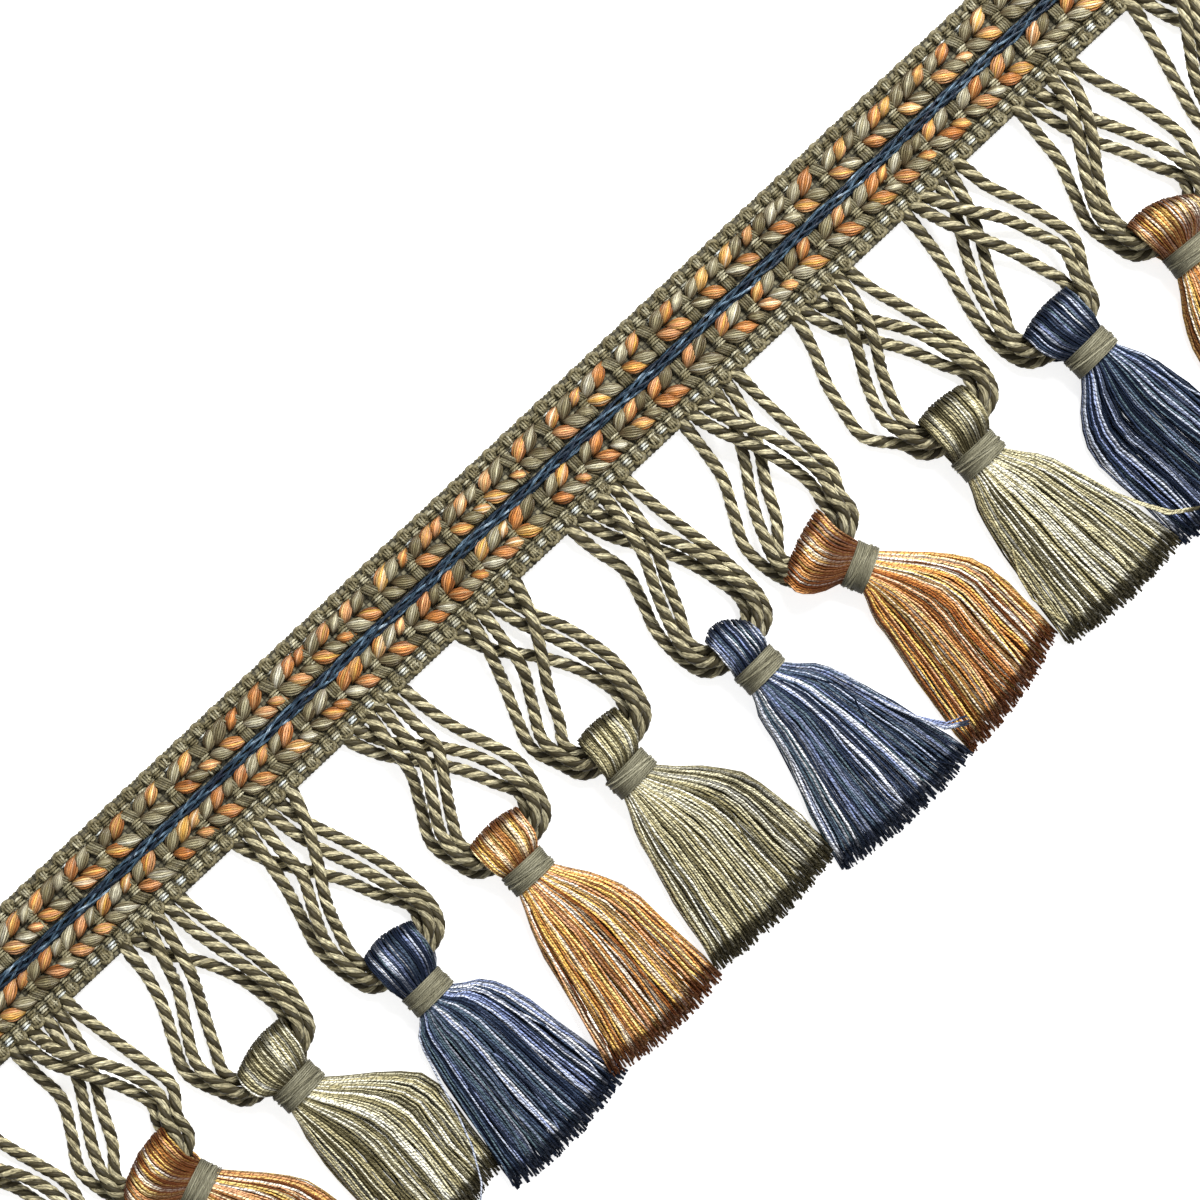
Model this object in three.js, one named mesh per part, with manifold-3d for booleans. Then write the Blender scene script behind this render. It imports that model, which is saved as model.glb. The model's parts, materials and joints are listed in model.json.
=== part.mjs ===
// Tassel fringe trim: a woven braid heading with a blue cord couched along its middle, and
// twelve folded yarn tassels, each hung on three twisted cord loops. It lies face up on a table.
// Millimetres. X runs along the heading, Y points from the tassels to the heading, Z is up.

import * as THREE from 'three';
import { mergeVertices } from 'three/addons/utils/BufferGeometryUtils.js';
import Module from 'manifold-3d';

const wasm = await Module();
wasm.setup();

// The whole trim
const PITCH = 29.0;              // from tassel to tassel
const GAP = 0.3;                 // clearance between neighbouring pieces
const HALF_WIDTH = 53.8;         // scallop tips and longest hem, from the middle line

// Heading, as places across it (Y) and heights above the table (Z)
const HEADING = {
  top: HALF_WIDTH, bottom: 31.2, scallop: 1.5, scallops: 78,
  borderZ: 3.0, webZ: 1.3, plaitZ: 4.2, dipZ: 3.5, footZ: 2.4,
  grooveY: 42.65, plaitWidth: 6.6, upperPlaitY: 47.35, lowerPlaitY: 38.0,
};

// Cords
const CORD_R = 1.25;             // loops and centre cord
const CORD_SIDES = 8;
const SLOT = 2.8;                // between the roots of neighbouring legs
const LAY = 3.1;                 // between centres of legs that lie on each other
const ROOT_OVER_Z = 2.9;         // root of a leg that passes in front of the others

// Places down a leg: Y, and how much of the root's, waist's and belly's X each has
const STATIONS = [
  { y: 30.2, slot: 1, waist: 0, belly: 0 },
  { y: 25.2, slot: 0.74, waist: 0.26, belly: 0 },
  { y: 19.0, slot: 0.2, waist: 0.8, belly: 0 },
  { y: 12.5, slot: 0, waist: 0.5, belly: 0.5 },
  { y: 6.3, slot: 0, waist: 0, belly: 1 },
];

// The three loops of a tassel, as they lie in its head: Y from the head's middle, Z, the turn's
// radius, how far the turn starts outside the head, and Z at the turn's start and middle
const LANES = {
  outer: { y: -2.6, z: 2.9, radius: 5.6, out: 5.2, startZ: 1.7, midZ: 2.5 },
  middle: { y: -1.15, z: 5.6, radius: 5.4, out: 3.9, startZ: 4.6, midZ: 5.3 },
  inner: { y: 0.25, z: 2.9, radius: 5.2, out: 2.25, startZ: 2.1, midZ: 2.9 },
};
const MIDDLE_BELLY_Z = 3.7;      // the middle loop is already rising there

// Tassel body, in the head's own place: Y from its middle, Z above the table
const HEAD = { half: 5.0, height: 8.7, tunnelLow: -4.2, tunnelHigh: 4.0, floorZ: 1.2, roofZ: 7.2 };
const NECK = { top: -4.5, length: 4.7, halfWidth: 5.0, halfHeight: 4.1, sides: 8 };
const LOBE = { from: 7.3, y: 0.4, width: 8.0, inside: 3.0 };
const SKIRT = { rootY: -8.1, midY: -25.0, rootHalf: 4.1, cornerLift: 1.6, upperShort: 2.5 };
const LAYERS = [
  { name: 'lower', locks: 7, mid: [0, 2.8], tip: [0, 2.2] },
  { name: 'upper', locks: 5, mid: [3.1, 5.8], tip: [2.5, 4.6] },
];

// Colours of the finishes
const FINISH = {
  braid: { color: 0x8f8a63, roughness: 0.75 },
  centre: { color: 0x3d567a, roughness: 0.6 },
  cord: { color: 0x8d8768, roughness: 0.6 },
  blue: { color: 0x4b5f7d, roughness: 0.55 },
  gold: { color: 0xc58a45, roughness: 0.55 },
  olive: { color: 0x8f8760, roughness: 0.6 },
};

// One row for each tassel. order: legs side by side in the heading; over: the legs that pass in
// front; waist and belly: X of legs L1 to L3 and R1 to R3 from the station; head: its middle,
// width and turn; lobe: how far the front yarn reaches over the left legs; mid and hem: left
// and right edges of the skirt from the station; hemY: lowest ends at the left and right
const TASSELS = [
  { yarn: 'blue', order: 'LRRLLR', over: 'R', waist: [-8, -4, 0.2, 3.2, 6.3, 9.2],
    belly: [-12, -8.5, -4.5, 6, 9.6, 12.2], head: [0.5, -3.8, 9.5, 0], lobe: 0,
    mid: [-11, 11.5], hem: [-13.8, 17], hemY: [-52, -51.5] },
  { yarn: 'gold', order: 'LRRLLR', over: 'R', waist: [-6.5, -2.5, 0.7, 2.2, 6, 8.9],
    belly: [-13.4, -9, -5.2, 5.2, 7.8, 10.4], head: [-1.5, -3.5, 9, 13], lobe: 4.5,
    mid: [-7, 17.8], hem: [-6.5, 20.1], hemY: [-53, -50] },
  { yarn: 'olive', order: 'LRLLRR', over: 'L', waist: [-10, -6.2, -1.7, 3.5, 6.5, 9.3],
    belly: [-15, -11.9, -7.6, 6, 8.4, 10.4], head: [-1.1, -3.2, 11.6, 6], lobe: 0,
    mid: [-8.1, 18.6], hem: [-8.3, 15], hemY: [-50.8, -49.4] },
  { yarn: 'blue', order: 'RLLRRL', over: 'L', waist: [-6.3, -1.9, 1.1, 0.2, 4.7, 8.5],
    belly: [-9.6, -7.3, -4.4, 5.6, 8.6, 11.2], head: [1.4, -5.2, 10.2, -2], lobe: 0,
    mid: [-9, 12.6], hem: [-13.4, 14.3], hemY: [-54.6, -52.6] },
  { yarn: 'gold', order: 'RRLLLR', over: 'L', waist: [-2.9, 0.8, 4.4, 1.6, 6.2, 9.8],
    belly: [-9.2, -6.4, -3.6, 7.4, 10.4, 13.4], head: [1.8, -3.1, 10.2, -3], lobe: 0,
    mid: [-8.8, 12.5], hem: [-14.1, 13.2], hemY: [-51.6, -52] },
  { yarn: 'olive', order: 'RLLRRL', over: 'L', waist: [-8.3, -3, 1, 2, 6.3, 9.3],
    belly: [-12, -9.3, -4.8, 6.4, 8.6, 10.8], head: [-0.1, -2.8, 9.4, 0], lobe: 0,
    mid: [-11, 13.9], hem: [-15.3, 15.4], hemY: [-50.6, -49.6] },
  { yarn: 'blue', order: 'LRRLLR', over: 'L', waist: [-4.6, -0.9, 2, 2.8, 5.8, 8.6],
    belly: [-8.6, -5.6, -2.8, 6.4, 8.3, 10.2], head: [0.9, -4.9, 8.4, 0], lobe: 0,
    mid: [-8.4, 11.5], hem: [-13.1, 19.3], hemY: [-53.2, -53.6] },
  { yarn: 'gold', order: 'LRRLLR', over: 'R', waist: [-8.9, -4, -0.2, 1, 4.2, 7.6],
    belly: [-14.4, -10.2, -6.4, 3, 5.4, 7.8], head: [-3.1, -3.5, 9, 13], lobe: 5.2,
    mid: [-6.8, 16.9], hem: [-9.1, 16.5], hemY: [-53.6, -47.8] },
  { yarn: 'olive', order: 'LRRLLR', over: 'L', waist: [-11.6, -3.6, 0.6, 2.2, 7.1, 10.5],
    belly: [-12.6, -7.7, -4.4, 7.6, 10.2, 12.4], head: [2, -3.2, 10.2, -2], lobe: 0,
    mid: [-8.3, 12.9], hem: [-11.5, 18.3], hemY: [-51.3, -51.3] },
  { yarn: 'blue', order: 'LRRLLR', over: 'R', waist: [-8.6, -4.6, -0.6, 0.7, 7.2, 11.2],
    belly: [-11, -8.4, -5.6, 5, 10, 13.2], head: [-0.9, -3.9, 9.6, 0], lobe: 0,
    mid: [-12.8, 10.4], hem: [-10.2, 12.9], hemY: [-52.3, -51.5] },
  { yarn: 'gold', order: 'LRRLLR', over: 'L', waist: [-8, -4.9, -1.3, -0.3, 4.4, 11],
    belly: [-12, -9.8, -7.4, 4.8, 8.2, 12.4], head: [-1, -3.6, 10.4, -6], lobe: 0,
    mid: [-14.2, 11], hem: [-14.5, 13], hemY: [-51.7, -51.2] },
  { yarn: 'olive', order: 'LRRLLR', over: 'L', waist: [-9.8, -6, -2.6, 1, 5.5, 9],
    belly: [-12.2, -9.8, -6.2, 5.4, 8.6, 11], head: [-0.4, -3.4, 10, 0], lobe: 0,
    mid: [-10, 11], hem: [-13.5, 14], hemY: [-51, -51.4] },
];
const LENGTH = TASSELS.length * PITCH;

/** Position of tassel i's station along the heading. */
const stationX = (i) => (i - (TASSELS.length - 1) / 2) * PITCH;

/** Value between the entries of a list at a fractional place. */
function at(values, place) {
  const low = Math.min(Math.floor(place), values.length - 2);
  return THREE.MathUtils.lerp(values[low], values[low + 1], place - low);
}

/** Closed solid of a geometry, ready to be joined or cut. */
function solid(geometry) {
  let shell = geometry.clone();
  shell.deleteAttribute('normal');
  shell.deleteAttribute('uv');
  shell = mergeVertices(shell, 1e-4);
  return new wasm.Manifold(new wasm.Mesh({
    numProp: 3,
    vertProperties: new Float32Array(shell.attributes.position.array),
    triVerts: new Uint32Array(shell.index.array),
  }));
}

/** Geometry of a joined or cut solid. */
function surface(body) {
  const mesh = body.getMesh();
  const geometry = new THREE.BufferGeometry();
  geometry.setAttribute('position', new THREE.BufferAttribute(mesh.vertProperties, 3));
  geometry.setIndex(new THREE.BufferAttribute(mesh.triVerts, 1));
  return geometry;
}

/** Bar along X whose section is drawn in Y and Z. */
function barAlongX(section, length) {
  const bar = new THREE.ExtrudeGeometry(section, { depth: length, bevelEnabled: false });
  const yzx = new THREE.Matrix4().makeBasis(
    new THREE.Vector3(0, 1, 0), new THREE.Vector3(0, 0, 1), new THREE.Vector3(1, 0, 0));
  return bar.applyMatrix4(yzx).translate(-length / 2, 0, 0);
}

/** Shape through a list of [x, y] points. */
const polygon = (points) => new THREE.Shape(points.map(([x, y]) => new THREE.Vector2(x, y)));

/** Braid band: scalloped edges, two plaited ridges and the groove for the centre cord. */
function headingGeometry() {
  const { top, bottom, scallop, scallops, borderZ, webZ, plaitZ, dipZ, footZ } = HEADING;
  const pitch = LENGTH / scallops;
  const along = (y, depth, direction) => {
    const edge = [];
    for (let i = 0; i < scallops; i += 1) {
      const start = direction * (i * pitch - LENGTH / 2);
      edge.push([start, y]);
      edge.push([start + direction * pitch * 0.3, y + depth]);
      edge.push([start + direction * pitch * 0.7, y + depth]);
    }
    edge.push([direction * LENGTH / 2, y]);
    return edge;
  };
  const outline = polygon([...along(bottom + scallop, -scallop, 1), ...along(top - scallop, scallop, -1)]);
  let band = solid(new THREE.ExtrudeGeometry(outline, { depth: borderZ, bevelEnabled: false }));
  for (const y of [HEADING.upperPlaitY, HEADING.lowerPlaitY]) {
    const half = HEADING.plaitWidth / 2;
    const ridge = polygon([
      [y - half, footZ], [y + half, footZ], [y + half, plaitZ - 0.6], [y + half * 0.6, plaitZ],
      [y, dipZ], [y - half * 0.6, plaitZ], [y - half, plaitZ - 0.6]]);
    band = band.add(solid(barAlongX(ridge, LENGTH)));
  }
  const grooveHalf = CORD_R + GAP;
  const groove = new THREE.BoxGeometry(LENGTH + 2, grooveHalf * 2, plaitZ)
    .translate(0, HEADING.grooveY, webZ + plaitZ / 2);
  return surface(band.subtract(solid(groove)));
}

/** Cord couched in the heading's groove. */
function centreCordGeometry() {
  return new THREE.CylinderGeometry(CORD_R, CORD_R, LENGTH, CORD_SIDES)
    .rotateZ(Math.PI / 2)
    .translate(0, HEADING.grooveY, HEADING.webZ + GAP + CORD_R);
}

/** Route whose sections stand at its own points. */
class Route extends THREE.CatmullRomCurve3 {
  getUtoTmapping(share) {
    return share;
  }
}

/** Round cord along a list of points. */
function cordGeometry(points) {
  const section = polygon(Array.from({ length: CORD_SIDES }, (_, i) => {
    const turn = (i * 2 * Math.PI) / CORD_SIDES;
    return [CORD_R * Math.cos(turn), CORD_R * Math.sin(turn)];
  }));
  const extrudePath = new Route(points, false, 'centripetal');
  return new THREE.ExtrudeGeometry(section, { steps: points.length - 1, extrudePath });
}

/** The six legs of a tassel: X at each station and the loop that each belongs to. */
function legsOf(row) {
  const loopOf = { L: ['outer', 'middle', 'inner'], R: ['inner', 'middle', 'outer'] };
  const seen = { L: 0, R: 0 };
  return [...row.order].map((side, slot) => {
    const turn = seen[side];
    seen[side] += 1;
    const column = turn + (side === 'R' ? 3 : 0);
    const root = (slot - 2.5) * SLOT;
    const x = STATIONS.map((s) => s.slot * root + s.waist * row.waist[column] + s.belly * row.belly[column]);
    return { side, loop: loopOf[side][turn], x };
  });
}

/** How far a leg runs sideways for each millimetre down, at a fractional place. */
function lean(leg, place) {
  const k = Math.min(Math.floor(place), STATIONS.length - 2);
  return (leg.x[k + 1] - leg.x[k]) / (STATIONS[k].y - STATIONS[k + 1].y);
}

/** Heights of the legs: each lies on the table or on the legs that were laid before it. */
function settle(legs, over) {
  const rank = { outer: 0, inner: 1, middle: 2 };
  const turn = (leg) => (leg.side === over ? 3 : 0) + rank[leg.loop];
  const laid = [];
  for (const leg of [...legs].sort((a, b) => turn(a) - turn(b))) {
    leg.z = STATIONS.map((_, s) => {
      let z = leg.loop === 'middle' && s === STATIONS.length - 1 ? MIDDLE_BELLY_Z : CORD_R;
      for (let place = s - 0.5; place <= s + 0.5; place += 0.125) {
        if (place < 0 || place > STATIONS.length - 1) continue;
        for (const under of laid) {
          const slant = Math.atan((lean(leg, place) + lean(under, place)) / 2);
          const apart = Math.abs(at(leg.x, place) - at(under.x, place)) * Math.cos(slant);
          if (apart < LAY) z = Math.max(z, at(under.z, place) + Math.sqrt(LAY ** 2 - apart ** 2));
        }
      }
      if (s > 0) return z;
      return leg.side === over ? ROOT_OVER_Z : CORD_R;
    });
    laid.push(leg);
  }
}

/** Moves a point of the head's own place to the trim's place. */
function fromHead(row, i, x, y, z) {
  const [headX, headY, , turn] = row.head;
  return new THREE.Vector3(x, y, z)
    .applyAxisAngle(new THREE.Vector3(0, 0, 1), THREE.MathUtils.degToRad(turn))
    .add(new THREE.Vector3(stationX(i) + headX, headY, 0));
}

/** Moves a point of the trim's place to the head's own place. */
function intoHead(row, i, x, y, z) {
  const [headX, headY, , turn] = row.head;
  return new THREE.Vector3(x - stationX(i) - headX, y - headY, z)
    .applyAxisAngle(new THREE.Vector3(0, 0, 1), -THREE.MathUtils.degToRad(turn));
}

/** Points of one loop, down its left leg, through the head and up its right leg. */
function loopPoints(row, i, legs, loop) {
  const lane = LANES[loop];
  const start = row.head[2] / 2 + lane.out;
  const side = (letter, sign) => {
    const leg = legs.find((one) => one.side === letter && one.loop === loop);
    const down = STATIONS.map((s, k) => new THREE.Vector3(stationX(i) + leg.x[k], s.y, leg.z[k]));
    const slant = lane.radius * Math.SQRT1_2;
    down.push(fromHead(row, i, sign * start, lane.y + lane.radius, lane.startZ));
    down.push(fromHead(row, i, sign * (start - lane.radius + slant),
      lane.y + lane.radius - slant, lane.midZ));
    down.push(fromHead(row, i, sign * (start - lane.radius), lane.y, lane.z));
    return down;
  };
  return [...side('L', -1), ...side('R', 1).reverse()];
}

/** Yarn folded over the loops, with the tunnel that they pass through. */
function headGeometry(width) {
  const { half, height } = HEAD;
  const fold = polygon([
    [-half, 0], [2.0, 0], [4.4, 1.2], [half, 4.4], [3.8, 7.4], [0.8, height], [-half, height - 0.5]]);
  fold.holes.push(new THREE.Path([
    [HEAD.tunnelLow, HEAD.floorZ], [HEAD.tunnelLow, 4.6], [-2.4, HEAD.roofZ], [1.6, HEAD.roofZ],
    [HEAD.tunnelHigh, 4.6], [HEAD.tunnelHigh - 0.3, HEAD.floorZ],
  ].map(([y, z]) => new THREE.Vector2(y, z))));
  return barAlongX(fold, width);
}

/** One lock of the skirt: a four-sided bar with a bend, from the neck to the hem. */
function lockGeometry(row, i, layer, index) {
  const share = (index + 0.5) / layer.locks;
  const rootX = THREE.MathUtils.lerp(-SKIRT.rootHalf, SKIRT.rootHalf, share);
  const rootHalfZ = (NECK.halfHeight - 0.2) * Math.sqrt(1 - (rootX / NECK.halfWidth) ** 2);
  const middleZ = NECK.halfHeight;
  const lower = layer.name === 'lower';
  const root = lower ? [middleZ - rootHalfZ, middleZ - GAP / 2] : [middleZ + GAP / 2, middleZ + rootHalfZ];
  const lift = SKIRT.cornerLift * (2 * share - 1) ** 2 + (lower ? 0 : SKIRT.upperShort);
  const places = [
    { x: 0, y: 0, half: (SKIRT.rootHalf / layer.locks) - GAP * 0.4, z: root },
    { x: THREE.MathUtils.lerp(row.mid[0], row.mid[1], share), y: SKIRT.midY,
      half: (row.mid[1] - row.mid[0]) / layer.locks / 2 - GAP / 2, z: layer.mid },
    { x: THREE.MathUtils.lerp(row.hem[0], row.hem[1], share),
      y: THREE.MathUtils.lerp(row.hemY[0], row.hemY[1], share) + lift,
      half: (row.hem[1] - row.hem[0]) / layer.locks / 2 - GAP / 2, z: layer.tip },
  ];
  const lock = new THREE.BoxGeometry(1, 1, 1, 1, 2, 1);
  const corners = lock.attributes.position;
  for (let k = 0; k < corners.count; k += 1) {
    const place = places[Math.round((0.5 - corners.getY(k)) * 2)];
    const across = Math.sign(corners.getX(k)) * place.half;
    const z = corners.getZ(k) < 0 ? place.z[0] : place.z[1];
    if (place === places[0]) {
      corners.setXYZ(k, rootX + across, SKIRT.rootY, z);
    } else {
      const point = intoHead(row, i, stationX(i) + place.x + across, place.y, z);
      corners.setXYZ(k, point.x, point.y, point.z);
    }
  }
  return lock;
}

/** Tassel: folded head, bound neck and skirt in locks, as one solid. */
function tasselGeometry(row, i) {
  const [, , width] = row.head;
  const facet = Math.PI / NECK.sides;
  const neck = new THREE.CylinderGeometry(1, 1, NECK.length, NECK.sides)
    .rotateY(facet)
    .scale(NECK.halfWidth, 1, NECK.halfHeight)
    .translate(0, NECK.top - NECK.length / 2, NECK.halfHeight * Math.cos(facet));
  let body = solid(headGeometry(width)).add(solid(neck));
  if (row.lobe > 0) {
    const lobe = new THREE.BoxGeometry(row.lobe + LOBE.inside, LOBE.width, HEAD.height - LOBE.from)
      .translate(-width / 2 - (row.lobe - LOBE.inside) / 2, LOBE.y, (LOBE.from + HEAD.height) / 2);
    body = body.add(solid(lobe));
  }
  for (const layer of LAYERS) {
    for (let index = 0; index < layer.locks; index += 1) {
      body = body.add(solid(lockGeometry(row, i, layer, index)));
    }
  }
  const tassel = surface(body);
  const corners = tassel.attributes.position;
  for (let k = 0; k < corners.count; k += 1) {
    const point = fromHead(row, i, corners.getX(k), corners.getY(k), corners.getZ(k));
    corners.setXYZ(k, point.x, point.y, point.z);
  }
  return tassel;
}

const trim = new THREE.Group();

/** Adds a named piece of the trim. */
function addPiece(name, geometry, finish) {
  const piece = new THREE.Mesh(geometry, new THREE.MeshStandardMaterial({ ...FINISH[finish], metalness: 0 }));
  piece.name = name;
  trim.add(piece);
}

addPiece('heading', headingGeometry(), 'braid');
addPiece('centre_cord', centreCordGeometry(), 'centre');
TASSELS.forEach((row, i) => {
  const number = String(i + 1).padStart(2, '0');
  const legs = legsOf(row);
  settle(legs, row.over);
  for (const loop of Object.keys(LANES)) {
    addPiece(`loop_${number}_${loop}`, cordGeometry(loopPoints(row, i, legs, loop)), 'cord');
  }
  addPiece(`tassel_${number}_${row.yarn}`, tasselGeometry(row, i), row.yarn);
});

export default trim;
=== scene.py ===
# Tassel fringe trim: how its woven heading, its cord loops and its folded yarn tassels look.
import json
import logging
import math
import random
from dataclasses import dataclass, field
from enum import Enum
from functools import lru_cache

import bmesh
import bpy
import numpy as np
from mathutils import Matrix, Vector

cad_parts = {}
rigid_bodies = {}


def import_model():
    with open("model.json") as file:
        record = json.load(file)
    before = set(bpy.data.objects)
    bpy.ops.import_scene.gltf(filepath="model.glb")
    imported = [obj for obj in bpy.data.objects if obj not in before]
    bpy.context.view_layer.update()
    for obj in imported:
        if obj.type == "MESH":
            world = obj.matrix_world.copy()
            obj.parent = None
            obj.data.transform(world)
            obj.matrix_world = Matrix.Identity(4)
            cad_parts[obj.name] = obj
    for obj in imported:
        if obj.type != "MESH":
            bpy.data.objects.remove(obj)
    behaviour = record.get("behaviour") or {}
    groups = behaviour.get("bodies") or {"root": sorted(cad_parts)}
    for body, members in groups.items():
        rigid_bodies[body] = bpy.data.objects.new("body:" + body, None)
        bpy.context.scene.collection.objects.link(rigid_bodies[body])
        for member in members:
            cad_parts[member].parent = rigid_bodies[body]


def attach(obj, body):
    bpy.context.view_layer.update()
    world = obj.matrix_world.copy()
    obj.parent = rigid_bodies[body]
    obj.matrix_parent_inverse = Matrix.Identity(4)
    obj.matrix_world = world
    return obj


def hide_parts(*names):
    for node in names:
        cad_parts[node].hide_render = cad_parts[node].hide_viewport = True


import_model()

LOG = logging.getLogger("tassel_fringe")
MM = 0.001
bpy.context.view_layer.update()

Point = tuple[float, float, float]
Colour = tuple[float, float, float]

# Sizes of the trim that the solids have too, in millimetres
PITCH = 29.0  # from one tassel to the next
TASSEL_COUNT = 12
LENGTH = PITCH * TASSEL_COUNT
CORD_RADIUS = 1.25
ROOT_SPACING = 2.8  # between the roots of neighbouring legs
LEG_CLEARANCE = 3.1  # between the middles of legs that cross
FRONT_ROOT_Z = 2.9  # height of the roots that lie in front
MIDDLE_BELLY_Z = 3.7  # height of the middle loop at its belly
GROOVE_Y = 42.65  # middle of the heading's groove

SEED = 29


class Yarn(Enum):
    """Yarns that the tassels are made of."""

    BLUE = "blue"
    GOLD = "gold"
    OLIVE = "olive"


class Side(Enum):
    """Sides of a tassel, by their letters in an order of legs."""

    LEFT = "L"
    RIGHT = "R"


class Loop(Enum):
    """Loops that carry a tassel, nested in its head."""

    OUTER = "outer"
    MIDDLE = "middle"
    INNER = "inner"


@dataclass(frozen=True)
class Station:
    """Place down a leg, and how much of the root's, waist's and belly's X each has there."""

    y: float
    root: float
    waist: float
    belly: float


STATIONS = (
    Station(30.2, 1.0, 0.0, 0.0),
    Station(25.2, 0.74, 0.26, 0.0),
    Station(19.0, 0.2, 0.8, 0.0),
    Station(12.5, 0.0, 0.5, 0.5),
    Station(6.3, 0.0, 0.0, 1.0),
)


@dataclass(frozen=True)
class Lane:
    """Where one of the three loops lies in a head, and how it turns into it.

    y and z are its place there, radius that of its turn, out how far outside the head the turn
    starts, and start_z and mid_z its heights at the start and halfway round.
    """

    y: float
    z: float
    radius: float
    out: float
    start_z: float
    mid_z: float


LANES = {
    Loop.OUTER: Lane(-2.6, 2.9, 5.6, 5.2, 1.7, 2.5),
    Loop.MIDDLE: Lane(-1.15, 5.6, 5.4, 3.9, 4.6, 5.3),
    Loop.INNER: Lane(0.25, 2.9, 5.2, 2.25, 2.1, 2.9),
}


@dataclass(frozen=True)
class Passage:
    """Where the loops pass through a head: its middle, its width, and its turn in degrees."""

    x: float
    y: float
    width: float
    turn: float


@dataclass(frozen=True)
class Band:
    """Bound neck of a tassel: its middle, half its width, and its turn in degrees."""

    x: float
    y: float
    half: float
    turn: float


@dataclass(frozen=True)
class Rim:
    """Top of the folded yarn: its left and right ends, and how far it arches above them."""

    left: tuple[float, float]
    right: tuple[float, float]
    crown: float


@dataclass(frozen=True)
class StrayLock:
    """Lock that has strayed from the skirt: its share across, the place of its end, its threads."""

    across: float
    end_x: float
    end_y: float
    threads: int


@dataclass(frozen=True)
class TasselRow:
    """One tassel of the photo: X values are from its station, Y values from the trim's middle.

    order lists the sides of the legs as they stand in the heading, and over is the side in
    front. waist and belly hold X of legs L1 to L3 and R1 to R3. mid and hem are the skirt's
    left and right edges, hem_y its lowest ends, and lift how high its left and right edges lie.
    gloom is how far up the head the painted shade over the wrap reaches. darkness above 1 gives
    the yarn more of its dark threads.
    """

    yarn: Yarn
    order: str
    over: Side
    waist: tuple[float, ...]
    belly: tuple[float, ...]
    head: Passage
    band: Band
    rim: Rim
    mid: tuple[float, float]
    hem: tuple[float, float]
    hem_y: tuple[float, float]
    lift: tuple[float, float] = (0.0, 0.0)
    gloom: float = 0.2
    darkness: float = 1.0
    loose: StrayLock | None = None


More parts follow.
